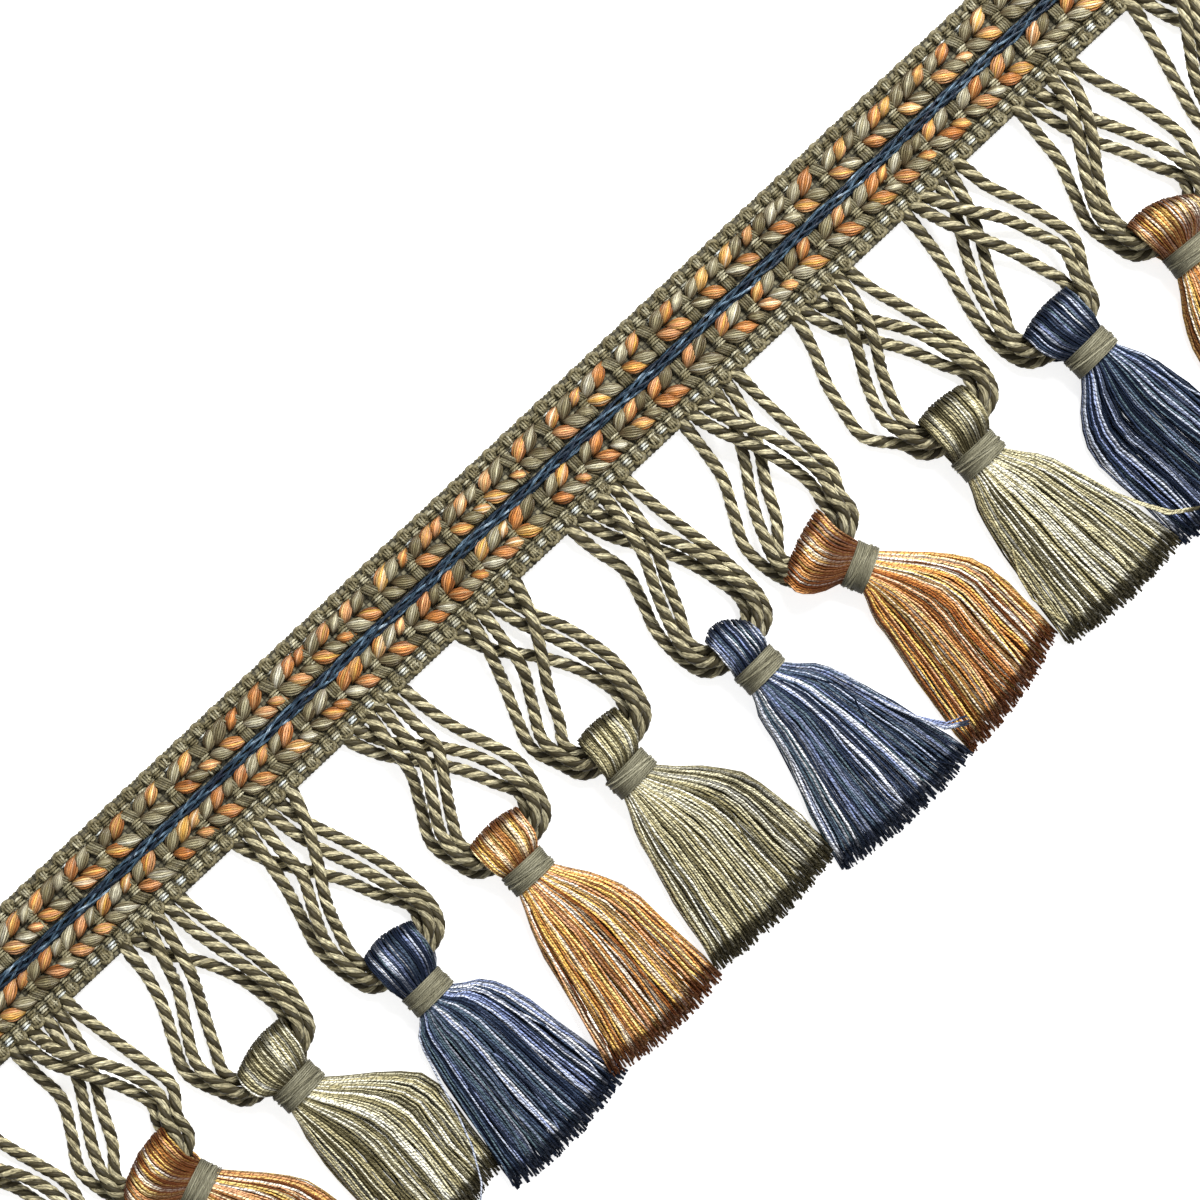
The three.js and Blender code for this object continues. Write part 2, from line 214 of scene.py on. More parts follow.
TASSELS = (
    TasselRow(Yarn.BLUE, "LRRLLR", Side.RIGHT, waist=(-8, -4, 0.2, 3.2, 6.3, 9.2),
              belly=(-12, -8.5, -4.5, 6, 9.6, 12.2), head=Passage(0.5, -3.8, 9.5, 0),
              band=Band(0.5, -10.9, 4.9, 0), rim=Rim((-5, 0.6), (5.7, 0.6), 1.2), mid=(-11, 11.5),
              hem=(-13.8, 17), hem_y=(-52, -51.5)),
    TasselRow(Yarn.GOLD, "LRRLLR", Side.RIGHT, waist=(-6.5, -2.5, 0.7, 2.2, 6, 8.9),
              belly=(-13.4, -9, -5.2, 5.2, 7.8, 10.4), head=Passage(-1.5, -3.5, 9, 13),
              band=Band(1.85, -11.2, 4.9, 21), rim=Rim((-10.6, -2.85), (4.4, 2.1), 1.5),
              mid=(-7, 17.8), hem=(-6.5, 20.1), hem_y=(-53, -50), lift=(0.0, 0.6), gloom=0.5),
    TasselRow(Yarn.OLIVE, "LRLLRR", Side.LEFT, waist=(-10, -6.2, -1.7, 3.5, 6.5, 9.3),
              belly=(-15, -11.9, -7.6, 6, 8.4, 10.4), head=Passage(-1.1, -3.2, 11.6, 6),
              band=Band(-0.6, -10.1, 5.0, 3), rim=Rim((-7.8, -0.5), (5.8, 1.7), 1.2), mid=(-8.1, 18.6),
              hem=(-8.3, 17.2), hem_y=(-50.8, -49.4), lift=(0.0, -0.6), darkness=0.72),
    TasselRow(Yarn.BLUE, "RLLRRL", Side.LEFT, waist=(-6.3, -1.9, 1.1, 0.2, 4.7, 8.5),
              belly=(-9.6, -7.3, -4.4, 5.6, 8.6, 11.2), head=Passage(1.4, -5.2, 10.2, -2),
              band=Band(0.4, -13.7, 4.75, 1), rim=Rim((-4.4, -0.95), (7.1, -1.7), 1.3), mid=(-9, 12.6),
              hem=(-13.4, 17.2), hem_y=(-54.6, -53), lift=(1.2, -0.8), gloom=0.42, darkness=1.2,
              loose=StrayLock(-1.0, -21.3, -51.0, 1)),
    TasselRow(Yarn.GOLD, "RRLLLR", Side.LEFT, waist=(-2.9, 0.8, 4.4, 1.6, 6.2, 9.8),
              belly=(-9.2, -6.4, -3.6, 7.4, 10.4, 13.4), head=Passage(1.8, -3.1, 10.2, -3),
              band=Band(0.8, -10.05, 4.85, -1), rim=Rim((-4.4, 0.76), (7.4, 0.4), 0.95),
              mid=(-8.8, 12.5), hem=(-14.1, 14.2), hem_y=(-51.6, -52), lift=(1.6, -0.4), gloom=0.15,
              darkness=0.65),
    TasselRow(Yarn.OLIVE, "RLLRRL", Side.LEFT, waist=(-8.3, -3, 1, 2, 6.3, 9.3),
              belly=(-12, -9.3, -4.8, 6.4, 8.6, 10.8), head=Passage(-0.1, -2.8, 9.4, 0),
              band=Band(-1.35, -9.9, 4.85, 3), rim=Rim((-4.8, 1.5), (5.1, 1.3), 0.7), mid=(-11, 15.2),
              hem=(-15.3, 17.6), hem_y=(-50.6, -49.6), lift=(1.2, 0.0), gloom=0.15, darkness=0.65),
    TasselRow(Yarn.BLUE, "LRRLLR", Side.LEFT, waist=(-4.6, -0.9, 2, 2.8, 5.8, 8.6),
              belly=(-8.6, -5.6, -2.8, 6.4, 8.3, 10.2), head=Passage(0.9, -4.9, 8.4, 0),
              band=Band(0.75, -12.2, 4.75, 2), rim=Rim((-3.1, -1.2), (5.6, -4.4), 2.5),
              mid=(-7.0, 12.9), hem=(-14.2, 19.8), hem_y=(-53.2, -53.6), lift=(0.0, 1.2),
              darkness=0.75, loose=StrayLock(0.85, 23.0, -46.3, 6)),
    TasselRow(Yarn.GOLD, "LRRLLR", Side.RIGHT, waist=(-8.9, -4, -0.2, 1, 4.2, 7.6),
              belly=(-14.4, -10.2, -6.4, 3, 5.4, 7.8), head=Passage(-3.1, -3.5, 9, 13),
              band=Band(-1.15, -11.0, 4.6, 25), rim=Rim((-13.3, -2.85), (0.3, 2.5), 0.8),
              mid=(-6.8, 16.9), hem=(-10.2, 18.4), hem_y=(-53.6, -47.8), lift=(-0.6, -0.4), gloom=0.5),
    TasselRow(Yarn.OLIVE, "LRRLLR", Side.LEFT, waist=(-11.6, -3.6, 0.6, 2.2, 7.1, 10.5),
              belly=(-12.6, -7.7, -4.4, 7.6, 10.2, 12.4), head=Passage(2, -3.2, 10.2, -2),
              band=Band(0.55, -11.0, 5.1, 0), rim=Rim((-3.6, 1.5), (7.4, 0.95), 0.8), mid=(-8.3, 12.9),
              hem=(-11.5, 18.3), hem_y=(-51.3, -51.3), lift=(0.8, 1.0), gloom=0.3, darkness=0.72,
              loose=StrayLock(0.9, 23.2, -46.6, 4)),
    TasselRow(Yarn.BLUE, "LRRLLR", Side.RIGHT, waist=(-8.6, -4.6, -0.6, 0.7, 7.2, 11.2),
              belly=(-11, -8.4, -5.6, 5, 10, 13.2), head=Passage(-0.9, -3.9, 9.6, 0),
              band=Band(0.4, -11.2, 5.1, 2), rim=Rim((-7.0, -0.2), (5.4, 0.95), 0.9),
              mid=(-12.8, 10.4), hem=(-11.6, 13.2), hem_y=(-52.3, -51.5), lift=(-0.8, 0.0), gloom=0.35,
              darkness=1.25),
    TasselRow(Yarn.GOLD, "LRRLLR", Side.LEFT, waist=(-8, -4.9, -1.3, -0.3, 4.4, 11),
              belly=(-12, -9.8, -7.4, 4.8, 8.2, 12.4), head=Passage(-1, -3.6, 10.4, -6),
              band=Band(-2.3, -10.45, 4.9, -4), rim=Rim((-7.4, 1.5), (5.9, -2.85), 1.9),
              mid=(-14.2, 11), hem=(-14.9, 13), hem_y=(-51.7, -51.2), lift=(0.8, 0.0), gloom=0.5,
              darkness=0.7),
    TasselRow(Yarn.OLIVE, "LRRLLR", Side.LEFT, waist=(-9.8, -6, -2.6, 1, 5.5, 9),
              belly=(-12.2, -9.8, -6.2, 5.4, 8.6, 11), head=Passage(-0.4, -3.4, 10, 0),
              band=Band(-0.4, -10.6, 4.9, 0), rim=Rim((-5.6, 0.9), (5.0, 0.9), 1.0), mid=(-10, 11),
              hem=(-13.5, 14), hem_y=(-51, -51.4)),
)


@lru_cache(maxsize=None)
def blend_weights(count: int, steps: int) -> np.ndarray:
    """Weights that draw a smooth line through a few points.

    Args:
        count: how many points the line passes through.
        steps: how many stretches it is sampled in.

    Returns:
        A matrix of steps + 1 rows that multiplies the points.
    """
    table = np.zeros((steps + 1, count))
    for row in range(steps + 1):
        place = row / steps * (count - 1)
        k = min(int(place), count - 2)
        t = place - k
        for shift, weight in (
            (-1, -0.5 * t + t * t - 0.5 * t ** 3),
            (0, 1 - 2.5 * t * t + 1.5 * t ** 3),
            (1, 0.5 * t + 2 * t * t - 1.5 * t ** 3),
            (2, -0.5 * t * t + 0.5 * t ** 3),
        ):
            table[row, min(max(k + shift, 0), count - 1)] += weight
    return table


def smooth_line(points: list[Point], steps: int) -> np.ndarray:
    """Smooth line through a few points.

    Args:
        points: places in millimetres.
        steps: stretches of the finished line.

    Returns:
        The line's points.
    """
    return blend_weights(len(points), steps) @ np.asarray(points, dtype=float)


def run_along(points: np.ndarray) -> np.ndarray:
    """Length of a line up to each of its points."""
    return np.concatenate(([0.0], np.cumsum(np.linalg.norm(np.diff(points, axis=0), axis=1))))


def even_line(points: np.ndarray, step: float) -> np.ndarray:
    """Same line with points at even distances.

    Args:
        points: the line's points.
        step: wanted distance between points, in millimetres.

    Returns:
        Points along the line.
    """
    run = run_along(points)
    count = max(int(round(run[-1] / step)), 2)
    places = np.linspace(0.0, run[-1], count + 1)
    return np.stack([np.interp(places, run, points[:, k]) for k in range(3)], axis=1)


def ease(share: np.ndarray) -> np.ndarray:
    """Share from 0 to 1 that starts and stops softly."""
    held = np.clip(share, 0.0, 1.0)
    return held * held * (3.0 - 2.0 * held)


def between(values: list[float], place: float) -> float:
    """Value at a place between two entries of a list."""
    low = min(int(place), len(values) - 2)
    return values[low] + (values[low + 1] - values[low]) * (place - low)


def twisted_plies(line: np.ndarray, plies: int, offset: float, pitch: float, phase: float
                  ) -> list[np.ndarray]:
    """Plies that wind round a cord's middle line, laid to the left as in the photo.

    Args:
        line: evenly spaced points of the cord's middle.
        plies: how many wind round it.
        offset: how far each ply's middle lies from the line.
        pitch: length of a whole turn.
        phase: share of a turn at the start.

    Returns:
        One list of points for each ply.
    """
    tangents = np.gradient(line, axis=0)
    tangents /= np.linalg.norm(tangents, axis=1)[:, None]
    normals = np.zeros_like(line)
    start = np.array([0.0, 0.0, 1.0]) - tangents[0] * tangents[0][2]
    normals[0] = start / np.linalg.norm(start)
    for k in range(1, len(line)):
        carried = normals[k - 1] - tangents[k] * np.dot(normals[k - 1], tangents[k])
        normals[k] = carried / np.linalg.norm(carried)
    sides = np.cross(tangents, normals)
    run = run_along(line)
    laid = []
    for ply in range(plies):
        turn = -2 * math.pi * (run / pitch + ply / plies + phase)
        laid.append(line + offset * (np.cos(turn)[:, None] * normals + np.sin(turn)[:, None] * sides))
    return laid


def place_new(name: str, data: bpy.types.ID) -> bpy.types.Object:
    """Puts a new object into the scene.

    Args:
        name: the object's name.
        data: its mesh, curve, camera or light.

    Returns:
        The object.
    """
    made = bpy.data.objects.new(name, data)
    bpy.context.scene.collection.objects.link(made)
    return made


@dataclass
class Bundle:
    """Threads that together make one piece.

    Each thread keeps a tone, from which its finish picks a colour, a painted light and shade
    along it, and a thread map with turns round it across and millimetres along it.
    """

    name: str
    radius: float
    roundness: int = 0
    lines: list[np.ndarray] = field(default_factory=list)
    tones: list[float] = field(default_factory=list)
    shades: list[np.ndarray] = field(default_factory=list)
    widths: list[np.ndarray] = field(default_factory=list)

    def add(self, line: np.ndarray, tone: float, shade: float | np.ndarray = 1.0,
            width: float | np.ndarray = 1.0) -> None:
        """Adds one thread.

        Args:
            line: its middle, in millimetres.
            tone: place in the finish's range of colours, 0 to 1.
            shade: painted light and shade on it, whole or at each point.
            width: its thickness beside the bundle's, whole or at each point.
        """
        self.lines.append(line)
        self.tones.append(tone)
        self.shades.append(np.broadcast_to(shade, len(line)).astype(float))
        self.widths.append(np.broadcast_to(width, len(line)).astype(float))

    def build(self) -> bpy.types.Object:
        """Sweeps the threads and joins them as one mesh.

        Returns:
            The finished piece, at the origin.
        """
        curve = bpy.data.curves.new(self.name + "_lines", "CURVE")
        curve.dimensions = "3D"
        curve.bevel_depth = self.radius * MM
        curve.bevel_resolution = self.roundness
        for line, width in zip(self.lines, self.widths):
            spline = curve.splines.new("POLY")
            spline.points.add(len(line) - 1)
            places = np.ones((len(line), 4))
            places[:, :3] = line * MM
            spline.points.foreach_set("co", places.ravel())
            spline.points.foreach_set("radius", width)
        sweep = place_new(self.name + "_sweep", curve)
        mesh = bpy.data.meshes.new_from_object(sweep)
        bpy.data.objects.remove(sweep)
        bpy.data.curves.remove(curve)
        self.mark(mesh)
        self.close_ends(mesh)
        mesh.name = self.name
        return place_new(self.name, mesh)

    def close_ends(self, mesh: bpy.types.Mesh) -> None:
        """Puts a flat cut end on every thread.

        Args:
            mesh: the swept threads, open at their ends.
        """
        shell = bmesh.new()
        shell.from_mesh(mesh)
        rims = [edge for edge in shell.edges if edge.is_boundary]
        cuts = bmesh.ops.holes_fill(shell, edges=rims, sides=0)
        for face in cuts["faces"]:
            face.smooth = False
        shell.to_mesh(mesh)
        shell.free()

    def mark(self, mesh: bpy.types.Mesh) -> None:
        """Gives the swept mesh its thread map, tones, painted shades and places along.

        Args:
            mesh: the swept threads, ring after ring.
        """
        rings = sum(len(line) for line in self.lines)
        sides = len(mesh.vertices) // rings
        assert sides * rings == len(mesh.vertices), f"{self.name}: uneven rings"
        runs = [run_along(line) for line in self.lines]
        ring_mm = np.concatenate(runs)
        along = np.concatenate([run / max(run[-1], 1e-6) for run in runs])
        tone = np.concatenate([np.full(len(line), t) for line, t in zip(self.lines, self.tones)])
        for name, values in (("tone", tone), ("shade", np.concatenate(self.shades)), ("along", along)):
            layer = mesh.attributes.new(name, "FLOAT", "POINT")
            layer.data.foreach_set("value", np.repeat(values, sides).astype(np.float32))
        while mesh.uv_layers:
            mesh.uv_layers.remove(mesh.uv_layers[0])
        corners = np.zeros(len(mesh.loops), dtype=np.int32)
        mesh.loops.foreach_get("vertex_index", corners)
        starts = np.zeros(len(mesh.polygons), dtype=np.int32)
        totals = np.zeros(len(mesh.polygons), dtype=np.int32)
        mesh.polygons.foreach_get("loop_start", starts)
        mesh.polygons.foreach_get("loop_total", totals)
        ring, side = corners // sides, (corners % sides).astype(float)
        face = np.repeat(np.arange(len(totals)), totals)
        high = np.maximum.reduceat(side, starts)[face]
        low = np.minimum.reduceat(side, starts)[face]
        side[(high == sides - 1) & (low == 0) & (side == 0)] = sides
        layer = mesh.uv_layers.new(name="thread_map")
        layer.data.foreach_set(
            "uv", np.stack([side / sides, ring_mm[ring]], axis=1).astype(np.float32).ravel())
        mesh.polygons.foreach_set("use_smooth", np.ones(len(totals), dtype=bool))
        mesh.update()


class Sockets:
    """Places shader nodes in a tree and joins their sockets."""

    def __init__(self, tree: bpy.types.NodeTree) -> None:
        """Keeps the tree that the nodes go into."""
        self.tree = tree

    def node(self, kind: str, **settings: object) -> bpy.types.Node:
        """Adds a node with its settings.

        Args:
            kind: the node's type.
            settings: its properties by name.

        Returns:
            The new node.
        """
        made = self.tree.nodes.new(kind)
        for name, value in settings.items():
            setattr(made, name, value)
        return made

    def feed(self, target: bpy.types.NodeSocket, source: object) -> None:
        """Links a socket to the target, or sets its value.

        Args:
            target: the socket that is fed.
            source: a socket, a number, a colour or a vector.
        """
        if isinstance(source, bpy.types.NodeSocket):
            self.tree.links.new(source, target)
        else:
            target.default_value = source

    def math(self, operation: str, *values: object, clamp: bool = False) -> bpy.types.NodeSocket:
        """Adds a sum.

        Args:
            operation: which sum.
            values: numbers or sockets that go in.
            clamp: keeps the result between 0 and 1.

        Returns:
            The socket that comes out.
        """
        made = self.node("ShaderNodeMath", operation=operation, use_clamp=clamp)
        for socket, value in zip(made.inputs, values):
            self.feed(socket, value)
        return made.outputs[0]

    def noise(self, place: bpy.types.NodeSocket, scale: Point, detail: float) -> bpy.types.NodeSocket:
        """Adds noise over a stretched place.

        Args:
            place: the vector that it follows.
            scale: how fine it is each way.
            detail: how many finer layers it has.

        Returns:
            The noise's value.
        """
        spread = self.node("ShaderNodeVectorMath", operation="MULTIPLY")
        self.feed(spread.inputs[0], place)
        spread.inputs[1].default_value = scale
        made = self.node("ShaderNodeTexNoise")
        self.feed(made.inputs["Vector"], spread.outputs[0])
        made.inputs["Scale"].default_value = 1.0
        made.inputs["Detail"].default_value = detail
        return made.outputs["Fac"]

    def attribute(self, name: str) -> bpy.types.NodeSocket:
        """Reads one of the piece's own values."""
        return self.node("ShaderNodeAttribute", attribute_name=name).outputs["Fac"]

    def split(self, vector: bpy.types.NodeSocket) -> tuple[bpy.types.NodeSocket, bpy.types.NodeSocket]:
        """Takes a vector apart.

        Args:
            vector: the vector's socket.

        Returns:
            Its X and its Y.
        """
        made = self.node("ShaderNodeSeparateXYZ")
        self.feed(made.inputs[0], vector)
        return made.outputs["X"], made.outputs["Y"]

    def joined(self, **parts: object) -> bpy.types.NodeSocket:
        """Joins numbers as a vector.

        Args:
            parts: the sources of X, Y or Z, by those names.

        Returns:
            The vector that comes out.
        """
        made = self.node("ShaderNodeCombineXYZ")
        for name, source in parts.items():
            self.feed(made.inputs[name], source)
        return made.outputs[0]

    def mixed(self, share: object, low: object, high: object, light: object) -> bpy.types.NodeSocket:
        """Mixes two colours and dims the result.

        Args:
            share: how much of the second colour there is, 0 to 1.
            low: the first colour.
            high: the second colour.
            light: what the mixed colour is multiplied by.

        Returns:
            The colour that comes out.
        """
        mix = self.node("ShaderNodeMix", data_type="RGBA")
        self.feed(mix.inputs["Factor"], share)
        self.feed(mix.inputs[6], low)
        self.feed(mix.inputs[7], high)
        dimmed = self.node("ShaderNodeVectorMath", operation="SCALE")
        self.feed(dimmed.inputs[0], mix.outputs[2])
        self.feed(dimmed.inputs["Scale"], light)
        return dimmed.outputs[0]

    def grouped(self, tree: bpy.types.NodeTree, **sources: object) -> bpy.types.Node:
        """Places a node group.

        Args:
            tree: the group.
            sources: what its sockets are fed, by their names.

        Returns:
            The group's node.
        """
        made = self.node("ShaderNodeGroup", node_tree=tree)
        for name, source in sources.items():
            self.feed(made.inputs[name], source)
        return made


def open_group(name: str, inputs: dict[str, str], outputs: dict[str, str]
               ) -> tuple[Sockets, bpy.types.Node, bpy.types.Node]:
    """Starts a node group.

    Args:
        name: the group's name.
        inputs: the kind of each socket that goes in, by its name.
        outputs: the kind of each socket that comes out.

    Returns:
        The group's sockets, the node with what goes in and the node for what comes out.
    """
    tree = bpy.data.node_groups.new(name, "ShaderNodeTree")
    for way, kinds in (("INPUT", inputs), ("OUTPUT", outputs)):
        for socket, kind in kinds.items():
            tree.interface.new_socket(socket, in_out=way, socket_type="NodeSocket" + kind)
    put = Sockets(tree)
    return put, put.node("NodeGroupInput"), put.node("NodeGroupOutput")


@lru_cache(maxsize=None)
def spun_thread_group() -> bpy.types.NodeTree:
    """Group that draws the twist of a spun thread, with painted shade in its grooves.

    Returns:
        A node group with sockets Thread, Tone, Plies and Pitch in, and Height and Groove out.
    """
    put, given, made = open_group(
        "spun_thread", {"Thread": "Vector", "Tone": "Float", "Plies": "Float", "Pitch": "Float"},
        {"Height": "Float", "GrooveShade": "Float"})
    x, y = put.split(given.outputs["Thread"])
    round_it = put.math("MULTIPLY", x, given.outputs["Plies"])
    along_it = put.math("DIVIDE", y, given.outputs["Pitch"])
    start = put.math("MULTIPLY_ADD", given.outputs["Tone"], 53.0, round_it)
    place = put.joined(X=put.math("MULTIPLY", given.outputs["Tone"], 61.0), Y=along_it)
    uneven = put.math("MULTIPLY", put.noise(place, (1.0, 0.6, 1.0), 1.0), 3.0)
    turn = put.math("ADD", put.math("ADD", start, along_it), uneven)
    turn = put.math("MULTIPLY", turn, 2 * math.pi)
    wave = put.math("MULTIPLY_ADD", put.math("SINE", turn), 0.5, 0.5)
    put.feed(made.inputs["Height"], put.math("POWER", wave, 0.6))
    # Painted shade in the twist's grooves, strongest where the wave is low.
    groove = put.math("SUBTRACT", 1.0, put.math("MULTIPLY", wave, 1.9), clamp=True)
    put.feed(made.inputs["GrooveShade"], groove)
    return put.tree


@lru_cache(maxsize=None)
def painted_shade_group() -> bpy.types.NodeTree:
    """Group that takes a thread's colour towards its shade colour where the painted light is low.

    Returns:
        A node group with sockets Colour, Deep and Light in, and Colour out.
    """
    put, given, made = open_group(
        "painted_thread_shade", {"Colour": "Color", "Deep": "Color", "Light": "Float"}, {"Colour": "Color"})
    light = given.outputs["Light"]
    colour = put.mixed(put.math("ADD", light, 0.0, clamp=True), given.outputs["Deep"],
                       given.outputs["Colour"], put.math("MAXIMUM", light, 1.0))
    put.feed(made.inputs["Colour"], colour)
    return put.tree


@lru_cache(maxsize=None)
def fibre_group() -> bpy.types.NodeTree:
    """Group that streaks a thread with fine fibres and slow changes of dye.

    Returns:
        A node group with sockets Thread and Tone in, and Streak and Patch out.
    """
    put, given, made = open_group(
        "fibres", {"Thread": "Vector", "Tone": "Float"}, {"Streak": "Float", "Patch": "Float"})
    x, y = put.split(given.outputs["Thread"])
    place = put.joined(X=x, Y=y, Z=put.math("MULTIPLY", given.outputs["Tone"], 97.0))
    streak = put.noise(place, (14.0, 1.1, 1.0), 3.0)
    put.feed(made.inputs["Streak"], put.math("MULTIPLY_ADD", streak, 2.4, -0.7, clamp=True))
    put.feed(made.inputs["Patch"], put.noise(place, (0.0, 0.28, 1.0), 1.0))
    return put.tree


@dataclass
class Surface:
    """Material that a finish fills in: its sockets and its Principled shader."""

    name: str
    made: bpy.types.Material = field(init=False)
    put: Sockets = field(init=False)
    shader: bpy.types.Node = field(init=False)

    def __post_init__(self) -> None:
        """Makes the material with nothing but the shader and the output."""
        self.made = bpy.data.materials.new(self.name)
        self.made.use_nodes = True
        self.made.node_tree.nodes.clear()
        self.put = Sockets(self.made.node_tree)
        self.shader = self.put.node("ShaderNodeBsdfPrincipled")
        output = self.put.node("ShaderNodeOutputMaterial")
        self.put.feed(output.inputs["Surface"], self.shader.outputs[0])

    def raise_by(self, height: bpy.types.NodeSocket, strength: float, depth: float) -> None:
        """Raises the surface in its shading.

        Args:
            height: how high it stands, 0 to 1.
            strength: how much of that shows.
            depth: what 1 stands for, in millimetres.
        """
        bump = self.put.node("ShaderNodeBump")
        bump.inputs["Strength"].default_value = strength
        bump.inputs["Distance"].default_value = depth * MM
        self.put.feed(bump.inputs["Height"], height)
        self.put.feed(self.shader.inputs["Normal"], bump.outputs[0])


@dataclass(frozen=True)
class ThreadFinish:
    """Dyed thread: a range of colours that single threads are picked from, with its twist.

    colours holds a place in the range and a linear colour, and deep is the colour they fall to in
    the painted shade. The twist's grooves are darkened with painted shade. end_dark is how much a
    thread darkens towards its end, partly as cut ends do and partly as painted shade at the hem,
    end_from the share of its length where that starts, and end_rate how fast it comes.
    """

    name: str
    colours: tuple[tuple[float, Colour], ...]
    deep: Colour
    plies: float
    pitch: float
    roughness: float
    groove_shade: float
    streak: float
    patch: float
    relief: float = 0.06
    bump: float = 0.7
    end_dark: float = 0.0
    end_from: float = 0.94
    end_rate: float = 40.0
    gloss: float = 0.3

    def material(self) -> bpy.types.Material:
        """Makes the finish.

        Returns:
            A material that reads the thread map, tone, painted shade and along of its piece.
        """
        surface = Surface(self.name)
        put, shader = surface.put, surface.shader
        thread = put.node("ShaderNodeUVMap", uv_map="thread_map").outputs[0]
        tone = put.attribute("tone")
        twist = put.grouped(spun_thread_group(), Thread=thread, Tone=tone, Plies=self.plies,
                            Pitch=self.pitch)
        fibres = put.grouped(fibre_group(), Thread=thread, Tone=tone)
        wander = put.math("MULTIPLY_ADD", fibres.outputs["Patch"], self.patch * 2, -self.patch)
        dye = self.dye(put, put.math("ADD", tone, wander))
        # Painted shade: the twist's grooves darken the colour.
        lit = put.math("MULTIPLY_ADD", twist.outputs["GrooveShade"], -self.groove_shade, 1.0)
        streaks = put.math("MULTIPLY_ADD", fibres.outputs["Streak"], self.streak * 2, 1.0 - self.streak)
        lit = put.math("MULTIPLY", lit, streaks)
        # Painted light and shade that the piece carries on its points.
        lit = put.math("MULTIPLY", lit, put.attribute("shade"))
        # Thread ends darken, partly as cut ends do and partly as painted shade at the hem.
        if self.end_dark > 0:
            near = put.math("SUBTRACT", put.attribute("along"), self.end_from)
            near = put.math("MULTIPLY", near, self.end_rate, clamp=True)
            lit = put.math("MULTIPLY", lit, put.math("MULTIPLY_ADD", near, -self.end_dark, 1.0))
        # Where the painted light is low the colour falls towards the finish's shade colour.
        depth = put.grouped(painted_shade_group(), Colour=dye, Deep=(*self.deep, 1.0), Light=lit)
        put.feed(shader.inputs["Base Color"], depth.outputs["Colour"])
        shader.inputs["Roughness"].default_value = self.roughness
        shader.inputs["Specular IOR Level"].default_value = self.gloss
        height = put.math("MULTIPLY_ADD", fibres.outputs["Streak"], 0.5, twist.outputs["Height"])
        surface.raise_by(height, self.bump, self.relief)
        return surface.made

    def dye(self, put: Sockets, tone: bpy.types.NodeSocket) -> bpy.types.NodeSocket:
        """Picks the colour of a tone.

        Args:
            put: sockets of the material.
            tone: place in the range of colours.

        Returns:
            The colour that comes out.
        """
        ramp = put.node("ShaderNodeValToRGB")
        put.feed(ramp.inputs[0], tone)
        stops = ramp.color_ramp.elements
        stops.remove(stops[0])
        for k, (place, colour) in enumerate(self.colours):
            stop = stops.new(place) if k else stops[0]
            stop.position = place
            stop.color = (*colour, 1.0)
        return ramp.outputs["Color"]


@dataclass(frozen=True)
class WovenFinish:
    """Plain woven ground of the heading, seen at its back and between the leaves."""

    name: str
    light: Colour
    dark: Colour
    warp_pitch: float
    weft_pitch: float
    roughness: float = 0.8
    bump: float = 0.8
    relief: float = 0.15

    def material(self) -> bpy.types.Material:
        """Makes the finish.

        Returns:
            A material that weaves over the piece's own place.
        """
        surface = Surface(self.name)
        put, shader = surface.put, surface.shader
        place = put.node("ShaderNodeTexCoord").outputs["Object"]
        x, y = put.split(place)
        across = put.math("SINE", put.math("MULTIPLY", x, math.pi / (self.weft_pitch * MM)))
        down = put.math("SINE", put.math("MULTIPLY", y, math.pi / (self.warp_pitch * MM)))
        cell = put.math("MULTIPLY", across, down)
        weave = put.math("MULTIPLY_ADD", put.math("ABSOLUTE", cell), 1.6, 0.0, clamp=True)
        over = put.math("GREATER_THAN", cell, 0.0)
        blotch = put.noise(place, (260.0, 700.0, 260.0), 3.0)
        # Painted shade between the woven threads: the colour darkens where each crossing ends; blotch
        # varies it at random.
        lit = put.math("MULTIPLY", put.math("MULTIPLY_ADD", weave, 0.75, 0.2),
                       put.math("MULTIPLY_ADD", blotch, 1.0, 0.5))
        colour = put.mixed(put.math("MULTIPLY_ADD", over, 0.45, 0.25), (*self.dark, 1.0),
                           (*self.light, 1.0), lit)
        put.feed(shader.inputs["Base Color"], colour)
        shader.inputs["Roughness"].default_value = self.roughness
        surface.raise_by(weave, self.bump, self.relief)
        return surface.made


# OLIVE_DARK, RUST_DARK and NAVY_DARK are also colours that painted shade falls to.
OLIVE_DARK = (0.035, 0.028, 0.013)
OLIVE = (0.20, 0.168, 0.085)
OLIVE_GREY = (0.34, 0.305, 0.185)
OLIVE_PALE = (0.58, 0.54, 0.38)
RUST_DARK = (0.085, 0.024, 0.007)
RUST = (0.34, 0.11, 0.028)
ORANGE = (0.66, 0.27, 0.07)
SALMON = (0.68, 0.36, 0.18)
AMBER = (0.76, 0.44, 0.09)
PEACH = (0.88, 0.69, 0.47)
NAVY_DARK = (0.006, 0.010, 0.022)

CORD_FINISH = ThreadFinish(
    "twisted_cord_plies",
    ((0.0, (0.03, 0.024, 0.012)), (0.3, (0.09, 0.075, 0.04)), (0.5, (0.24, 0.205, 0.115)),
     (0.72, (0.47, 0.42, 0.26)), (1.0, (0.74, 0.69, 0.50))),
    OLIVE_DARK, plies=5.0, pitch=11.0, roughness=0.5, groove_shade=0.5, streak=0.9, patch=0.2,
    relief=0.05, gloss=0.15)
WRAP_FINISH = ThreadFinish(
    "wound_wrap_thread",
    ((0.0, (0.09, 0.082, 0.052)), (0.5, (0.225, 0.21, 0.14)), (1.0, (0.40, 0.38, 0.27))),
    (0.028, 0.025, 0.015), plies=2.0, pitch=1.3, roughness=0.55, groove_shade=0.3, streak=0.4,
    patch=0.5, gloss=0.15)
BORDER_FINISH = ThreadFinish(
    "border_thread",
    ((0.0, (0.07, 0.055, 0.028)), (0.35, OLIVE), (0.65, OLIVE_GREY), (0.85, OLIVE_PALE),
     (1.0, (0.74, 0.79, 0.78))),
    (0.022, 0.017, 0.008), plies=1.0, pitch=0.8, roughness=0.5, groove_shade=0.5, streak=0.55,
    patch=0.2)
